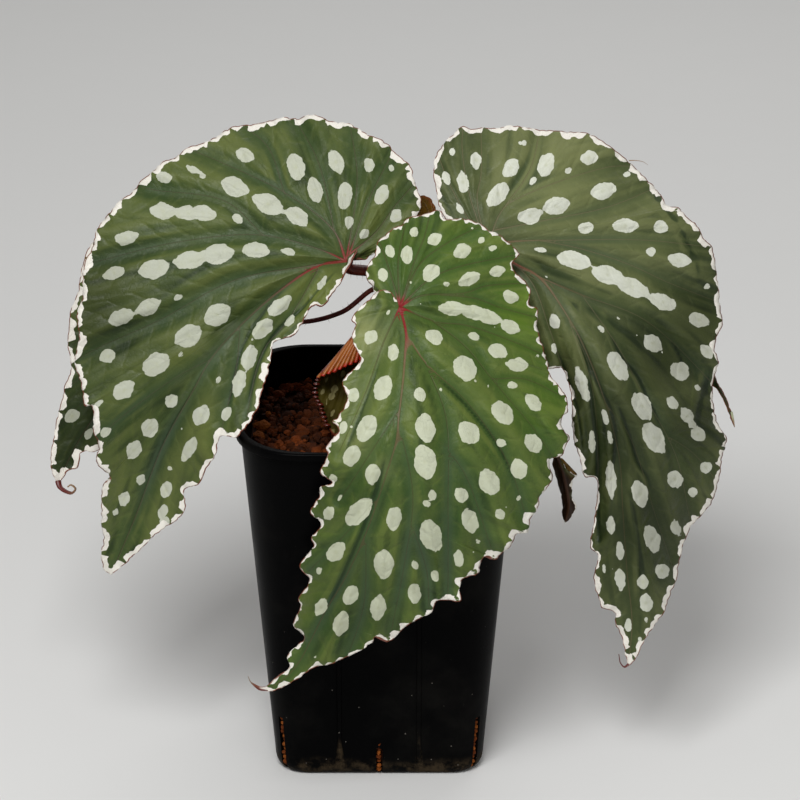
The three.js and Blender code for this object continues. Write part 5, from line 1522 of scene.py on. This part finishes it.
def make_pot(plastic):
    """The pot: its wall and floor drawn as one sheet and thickened, with its rolled rim."""
    band = POT_HEIGHT - RIM_BAND
    wall = [FOOT_HEIGHT, FOOT_HEIGHT + 0.6, FOOT_HEIGHT + 1.0, FACE_SLIT_HEIGHT, 18.0, CORNER_SLIT_HEIGHT]
    wall += list(np.linspace(CORNER_SLIT_HEIGHT, band - 1.4, 18)[1:]) + [band - 1.0, band + 0.8]
    rings = [(0.5, 0.0), (18.0, 0.0), (FOOT_HALF - CORNER_SLIT_DEPTH, 0.0),
             (FOOT_HALF - FOOT_ROUND - 0.2, 0.0)]
    rings += [(FOOT_HALF - FOOT_ROUND * (1 - math.sin(a)), FOOT_HEIGHT * (1 - math.cos(a)))
              for a in np.linspace(0, math.pi / 2, 7)[:-1]]
    rings += [(wall_half(z), z) for z in wall]
    bm = bmesh.new()
    draw_rings(bm, rings, ribs=True)
    cut_slits(bm)
    middle = [e for e in bm.edges if e.is_boundary and e.verts[0].co.xy.length < 2 * MM]
    bmesh.ops.holes_fill(bm, edges=middle, sides=0)
    bmesh.ops.recalc_face_normals(bm, faces=bm.faces)
    if sum(f.normal.xy.dot(f.calc_center_median().xy) for f in bm.faces) < 0:
        bmesh.ops.reverse_faces(bm, faces=bm.faces)
    mesh = bpy.data.meshes.new("pot_wall")
    bm.to_mesh(mesh)
    bm.free()
    shell = bpy.data.objects.new("pot_wall", mesh)
    bpy.context.scene.collection.objects.link(shell)
    thicken(shell, WALL_THICK, use_even_offset=True)
    walled = shell.evaluated_get(bpy.context.evaluated_depsgraph_get())
    whole = bmesh.new()
    whole.from_mesh(bpy.data.meshes.new_from_object(walled))
    bpy.data.objects.remove(shell)

    rim = [(WALL_TOP_HALF - 0.5, band - 0.1), (RIM_HALF - 0.35, band + 0.05), (RIM_HALF - 0.05, band + 0.35),
           (RIM_HALF, band + 0.8), (RIM_HALF, POT_HEIGHT - 0.9), (RIM_HALF - 0.12, POT_HEIGHT - 0.45),
           (RIM_HALF - 0.45, POT_HEIGHT - 0.12), (RIM_HALF - 0.9, POT_HEIGHT), (RIM_HALF - 2.0, POT_HEIGHT),
           (RIM_HALF - 2.5, POT_HEIGHT - 0.1), (RIM_HALF - 2.75, POT_HEIGHT - 0.4),
           (RIM_HALF - 2.8, POT_HEIGHT - 0.9), (wall_half(band) - WALL_THICK - 0.05, band - 0.6),
           (WALL_TOP_HALF - 0.5, band - 0.1)]
    part = bmesh.new()
    draw_rings(part, rim)
    bmesh.ops.recalc_face_normals(part, faces=part.faces)
    extra = bpy.data.meshes.new("pot_rim")
    part.to_mesh(extra)
    part.free()
    whole.from_mesh(extra)
    piece = finish_mesh(whole, "pot_shell", plastic, "pot")
    bevel = piece.modifiers.new("edges", "BEVEL")
    bevel.width = EDGE_BEVEL * MM
    bevel.segments = 2
    bevel.limit_method = "ANGLE"
    bevel.angle_limit = BEVEL_FROM
    bevel.harden_normals = True


def make_pot_material():
    """Black moulded plastic with dust, water marks and pale lime towards the foot."""
    material, tree, shader, place = new_material("pot plastic", Specular_IOR_Level=0.02)
    split = add_node(tree, "ShaderNodeSeparateXYZ")
    link(tree, place, split.inputs[0])
    x, y, z = split.outputs
    grain = noise_at(tree, place, 900, 3.0)
    cloud = noise_at(tree, place, 26, 5.0, 0.65)
    dusty = maths(tree, "MULTIPLY", ramp_up(tree, cloud, 0.45, 0.75), 0.16)
    colour = mix_colour(tree, dusty, PLASTIC_BLACK, PLASTIC_DUST)
    crust_noise = noise_at(tree, place, 160, 6.0, 0.7)
    uneven = maths(tree, "MULTIPLY", maths(tree, "SUBTRACT", noise_at(tree, place, 70, 3.0), 0.5), 0.006)
    level = maths(tree, "ADD", z, uneven)
    along = maths(tree, "MINIMUM", maths(tree, "ABSOLUTE", x), maths(tree, "ABSOLUTE", y))
    off_rib = maths(tree, "ABSOLUTE", maths(tree, "SUBTRACT", along, RIB_OFFSET * MM))
    ribs = maths(tree, "MULTIPLY", ramp_up(tree, off_rib, 0.0020, 0.0002), 0.010)
    low = ramp_up(tree, maths(tree, "SUBTRACT", level, ribs), 0.0085, 0.0035)
    low = maths(tree, "MULTIPLY", low, ramp_up(tree, level, -0.001, 0.003, 0.35, 1.0))
    crust = maths(tree, "MULTIPLY", ramp_up(tree, crust_noise, 0.42, 0.66), low)
    colour = mix_colour(tree, maths(tree, "MULTIPLY", crust, 0.42), colour, LIME_BROWN)
    specks = cells_at(tree, place, 400.0)
    size = ramp_up(tree, cell_chance(tree, specks), 0.6, 1.0, 0.0, 0.11)
    size = maths(tree, "MULTIPLY", size, ramp_up(tree, z, 0.09, 0.02, 0.3, 1.0))
    speck = maths(tree, "LESS_THAN", specks["Distance"], size)
    colour = mix_colour(tree, maths(tree, "MULTIPLY", speck, 0.35), colour, SPECK_PALE)
    link(tree, colour, shader.inputs["Base Color"])
    rough = ramp_up(tree, cloud, 0.3, 0.7, 0.26, 0.44)
    rough = maths(tree, "ADD", rough, maths(tree, "MULTIPLY", crust, 0.4))
    link(tree, rough, shader.inputs["Roughness"])
    relief = maths(tree, "MULTIPLY_ADD", crust, 1.2, maths(tree, "MULTIPLY", grain, 0.35))
    add_bump(tree, shader, relief, 0.35, 0.0002)
    return material


# ---------------------------------------------------------------- clay
CLAY_DARK = (0.026, 0.006, 0.0012, 1)
CLAY_RED = (0.155, 0.034, 0.006, 1)
CLAY_DUST = (0.15, 0.040, 0.009, 1)
CLAY_DAMP = (0.016, 0.005, 0.002, 1)
CLAY_ORANGE = (0.34, 0.100, 0.016, 1)
GRANULE_COUNT = 1250
GRANULE_RADII = (0.8, 1.1, 1.4, 1.7, 2.1, 2.7)
GRANULE_SUNK = 0.35
GRANULE_SCATTER = (-0.9, 0.7)
FINE_RADIUS = 1.2  # a granule wider than this has more faces
FLATS = 6
FLAT_REACH = 0.90
WHOLE_TURN = 6.28
STEM_CLEAR = 6.5
SLIT_GRANULES = 12
SLIT_SHADES = (0.5, 0.8, 0.9, 0.93)
SLIT_START = 2.4
SLIT_STEP = 1.9
GRANULE_MESH = bpy.data.meshes.new("granule")
# Orange granules on the left: their own orange, with a high tone that also paints in light where the left
# leaf shades them.
ORANGE_AND_LIT_GRANULES = [  # x, y, z, radius, shade
    (-44.2, -0.8, 128.4, 3.3, 0.94), (-44.9, -8.0, 127.4, 2.9, 0.93),
    (-42.2, 10.0, 128.6, 1.35, 0.97), (-27.9, 43.5, 127.6, 1.9, 0.93),
]


def fill_height(x, y):
    """The height of the mounded filling, from its edge to its middle."""
    reach = max(abs(x), abs(y)) / wall_half(FILL_EDGE)
    return FILL_EDGE + FILL_MOUND * (1 - reach * reach)


def add_granule(bm, centre, radius, rng, shade=None):
    """A lumpy granule with a few flats, squashed a little, its shade kept in the tone layer."""
    turn = Matrix.Rotation(rng.uniform(0, WHOLE_TURN), 3, Vector([rng.gauss(0, 1) for _ in range(3)]))
    squash = Vector((rng.uniform(0.8, 1.1), rng.uniform(0.8, 1.1), rng.uniform(0.7, 0.95)))
    flats = [Vector([rng.gauss(0, 1) for _ in range(3)]).normalized() for _ in range(FLATS)]
    start = Vector((rng.uniform(0, 50), 0, 0))
    drawn = rng.uniform(0, 0.9)
    one = bmesh.new()
    tone = one.verts.layers.float.new("tone")
    bmesh.ops.create_icosphere(one, subdivisions=2 if radius > FINE_RADIUS else 1, radius=1)
    for vert in one.verts:
        way = vert.co.copy()
        reach = 1 + 0.40 * noise.noise(way * 1.5 + start) + 0.22 * noise.noise(way * 4.0 + start)
        for flat in flats:
            reach = min(reach, FLAT_REACH / max(flat.dot(way), 0.01))
        vert.co = (Vector(centre) + turn @ (way * squash) * reach * radius) * MM
        vert[tone] = drawn if shade is None else shade
    one.to_mesh(GRANULE_MESH)
    one.free()
    bm.from_mesh(GRANULE_MESH)


def make_clay(clay):
    """The filling as a plain bed, with granules strewn on it and standing in the slits."""
    rng = random.Random(5)
    bm = bmesh.new()
    bm.verts.layers.float.new("tone")
    edge = wall_half(FILL_EDGE) - WALL_THICK - FILL_GAP
    low_half = FOOT_HALF - WALL_THICK - FILL_GAP
    rings = [(1.0, FLOOR_THICK + FILL_GAP), (low_half - 1.4, FLOOR_THICK + FILL_GAP), (low_half, FOOT_HEIGHT),
             (edge, FILL_EDGE - 2)]
    rings += [(edge * share, FILL_EDGE + FILL_MOUND * (1 - share * share) - 2)
              for share in (0.9, 0.75, 0.6, 0.45, 0.3, 0.15, 0.02)]
    draw_rings(bm, rings)
    bmesh.ops.holes_fill(bm, edges=[e for e in bm.edges if e.is_boundary], sides=0)
    bmesh.ops.recalc_face_normals(bm, faces=bm.faces)
    flat = corner_radius(edge, FILL_EDGE)
    for _ in range(GRANULE_COUNT):
        radius = rng.choice(GRANULE_RADII)
        reach = edge - radius - 0.1
        x = rng.uniform(-reach, reach)
        y = rng.uniform(-reach, reach)
        beyond = Vector((max(0, abs(x) - (edge - flat)), max(0, abs(y) - (edge - flat)))).length
        if beyond > flat - radius:
            continue
        if math.hypot(x - STEM_PLACE.x, y - STEM_PLACE.y) < STEM_CLEAR:
            continue
        z = fill_height(x, y) - radius * GRANULE_SUNK + rng.uniform(*GRANULE_SCATTER)
        add_granule(bm, (x, y, z), radius, rng)
    # the left granules, made brighter: their own orange, and painted light
    for x, y, z, radius, shade in ORANGE_AND_LIT_GRANULES:
        add_granule(bm, (x, y, z), radius, rng, shade)
    for quarter in range(4):
        turn = Matrix.Rotation(quarter * math.pi / 2, 3, "Z")
        for k in range(SLIT_GRANULES):
            radius = rng.uniform(1.0, 1.3)
            z = SLIT_START + k * SLIT_STEP
            outward = 0.8 + 0.05 * z + rng.uniform(-0.5, 0.1) - max(0.0, 4 - z) * 0.5
            corner = low_half - CORNER_INSET + outward
            shade = rng.choice(SLIT_SHADES)
            sideways = rng.uniform(-0.3, 0.3)
            add_granule(bm, turn @ Vector((corner + sideways, sideways - corner, z)), radius, rng, shade)
            if z < FACE_SLIT_HEIGHT + 2:
                add_granule(bm, turn @ Vector((sideways, -low_half - outward, z)), radius, rng, shade)
    finish_mesh(bm, "clay_bed", clay, "clay_granules", smooth_faces=False)


def make_clay_material():
    """Damp fired clay granules, dark red-brown to orange."""
    material, tree, shader, place = new_material("clay", Specular_IOR_Level=0.10)
    tone = attribute(tree, "tone")
    dusty = noise_at(tree, place, 420, 5.0, 0.65)
    colour = mix_colour(tree, ramp_up(tree, tone, 0.1, 0.8), CLAY_DARK, CLAY_RED)
    colour = mix_colour(tree, ramp_up(tree, dusty, 0.4, 0.75, 0.0, 0.4), colour, CLAY_DUST)
    damp = ramp_up(tree, noise_at(tree, place, 60, 3.0), 0.35, 0.6, 0.55, 0.0)
    colour = mix_colour(tree, damp, colour, CLAY_DAMP)
    colour = mix_colour(tree, ramp_up(tree, tone, 0.88, 0.97), colour, CLAY_ORANGE)
    link(tree, colour, shader.inputs["Base Color"])
    link(tree, ramp_up(tree, dusty, 0.3, 0.7, 0.72, 0.92), shader.inputs["Roughness"])
    add_bump(tree, shader, maths(tree, "ADD", dusty, noise_at(tree, place, 1500, 3.0)), 1.0, 0.0007)
    return material


# ---------------------------------------------------------------- stage
FLOOR_REACH = 3.0
FLOOR_PALE = (0.70, 0.70, 0.69, 1)
FLOOR_GREY = (0.64, 0.64, 0.63, 1)
ROOM_LIGHT = (1.0, 0.99, 0.97, 1)
ROOM_STRENGTH = 0.26
LIGHTS = {  # place, size in metres, watts
    "key": ((-0.25, -0.8, 1.3), (0.7, 0.5), 17),
    "fill": ((0.9, -1.2, 0.55), (0.9, 0.9), 3),
    "back": ((0.3, 1.1, 1.1), (1.2, 0.6), 5),
}
LIT = Vector((0, 0, 0.14))


def make_stage():
    floor_mesh = bpy.data.meshes.new("floor")
    bm = bmesh.new()
    bmesh.ops.create_grid(bm, x_segments=1, y_segments=1, size=FLOOR_REACH)
    bm.to_mesh(floor_mesh)
    bm.free()
    floor = bpy.data.objects.new("floor", floor_mesh)
    bpy.context.scene.collection.objects.link(floor)
    material, tree, shader, place = new_material("floor paper", Roughness=0.9)
    grain = ramp_up(tree, noise_at(tree, place, 30, 3.0), 0.3, 0.7, 0.0, 0.05)
    colour = mix_colour(tree, grain, FLOOR_PALE, FLOOR_GREY)
    link(tree, colour, shader.inputs["Base Color"])
    floor_mesh.materials.append(material)


def make_lights():
    for name, (place, size, power) in LIGHTS.items():
        data = bpy.data.lights.new(name, "AREA")
        data.shape = "RECTANGLE"
        data.size, data.size_y = size
        data.energy = power
        light = bpy.data.objects.new(name, data)
        bpy.context.scene.collection.objects.link(light)
        light.location = place
        light.rotation_euler = (LIT - Vector(place)).to_track_quat("-Z", "Y").to_euler()
    world = bpy.data.worlds.new("room")
    world.use_nodes = True
    background = world.node_tree.nodes["Background"]
    background.inputs["Color"].default_value = ROOM_LIGHT
    background.inputs["Strength"].default_value = ROOM_STRENGTH
    bpy.context.scene.world = world
    bpy.context.scene.view_settings.view_transform = "Standard"


make_camera()
make_stage()
make_lights()
markings = make_markings_group()
red_underside = make_underside_material("blade underside", **RED_UNDERSIDE)
olive_underside = make_underside_material("blade olive underside", **OLIVE_UNDERSIDE)
blade_faces = {look: (make_blade_material("blade " + look, markings, **colours), red_underside)
               for look, colours in BLADE_LOOKS.items()}
blade_faces["turned"] = (blade_faces["dark"][0], olive_underside)
blade_faces["brown"] = (blade_faces["brown"][0], olive_underside)
stalk_skin = make_stalk_material()
papery = make_papery_material()
blades = {name: make_blade(name, plan, blade_faces) for name, plan in LEAVES.items()}
make_young_leaf(*make_young_materials())
make_young_fringe()
make_threads()
make_stem(blades, stalk_skin, papery)
make_pot(make_pot_material())
make_clay(make_clay_material())
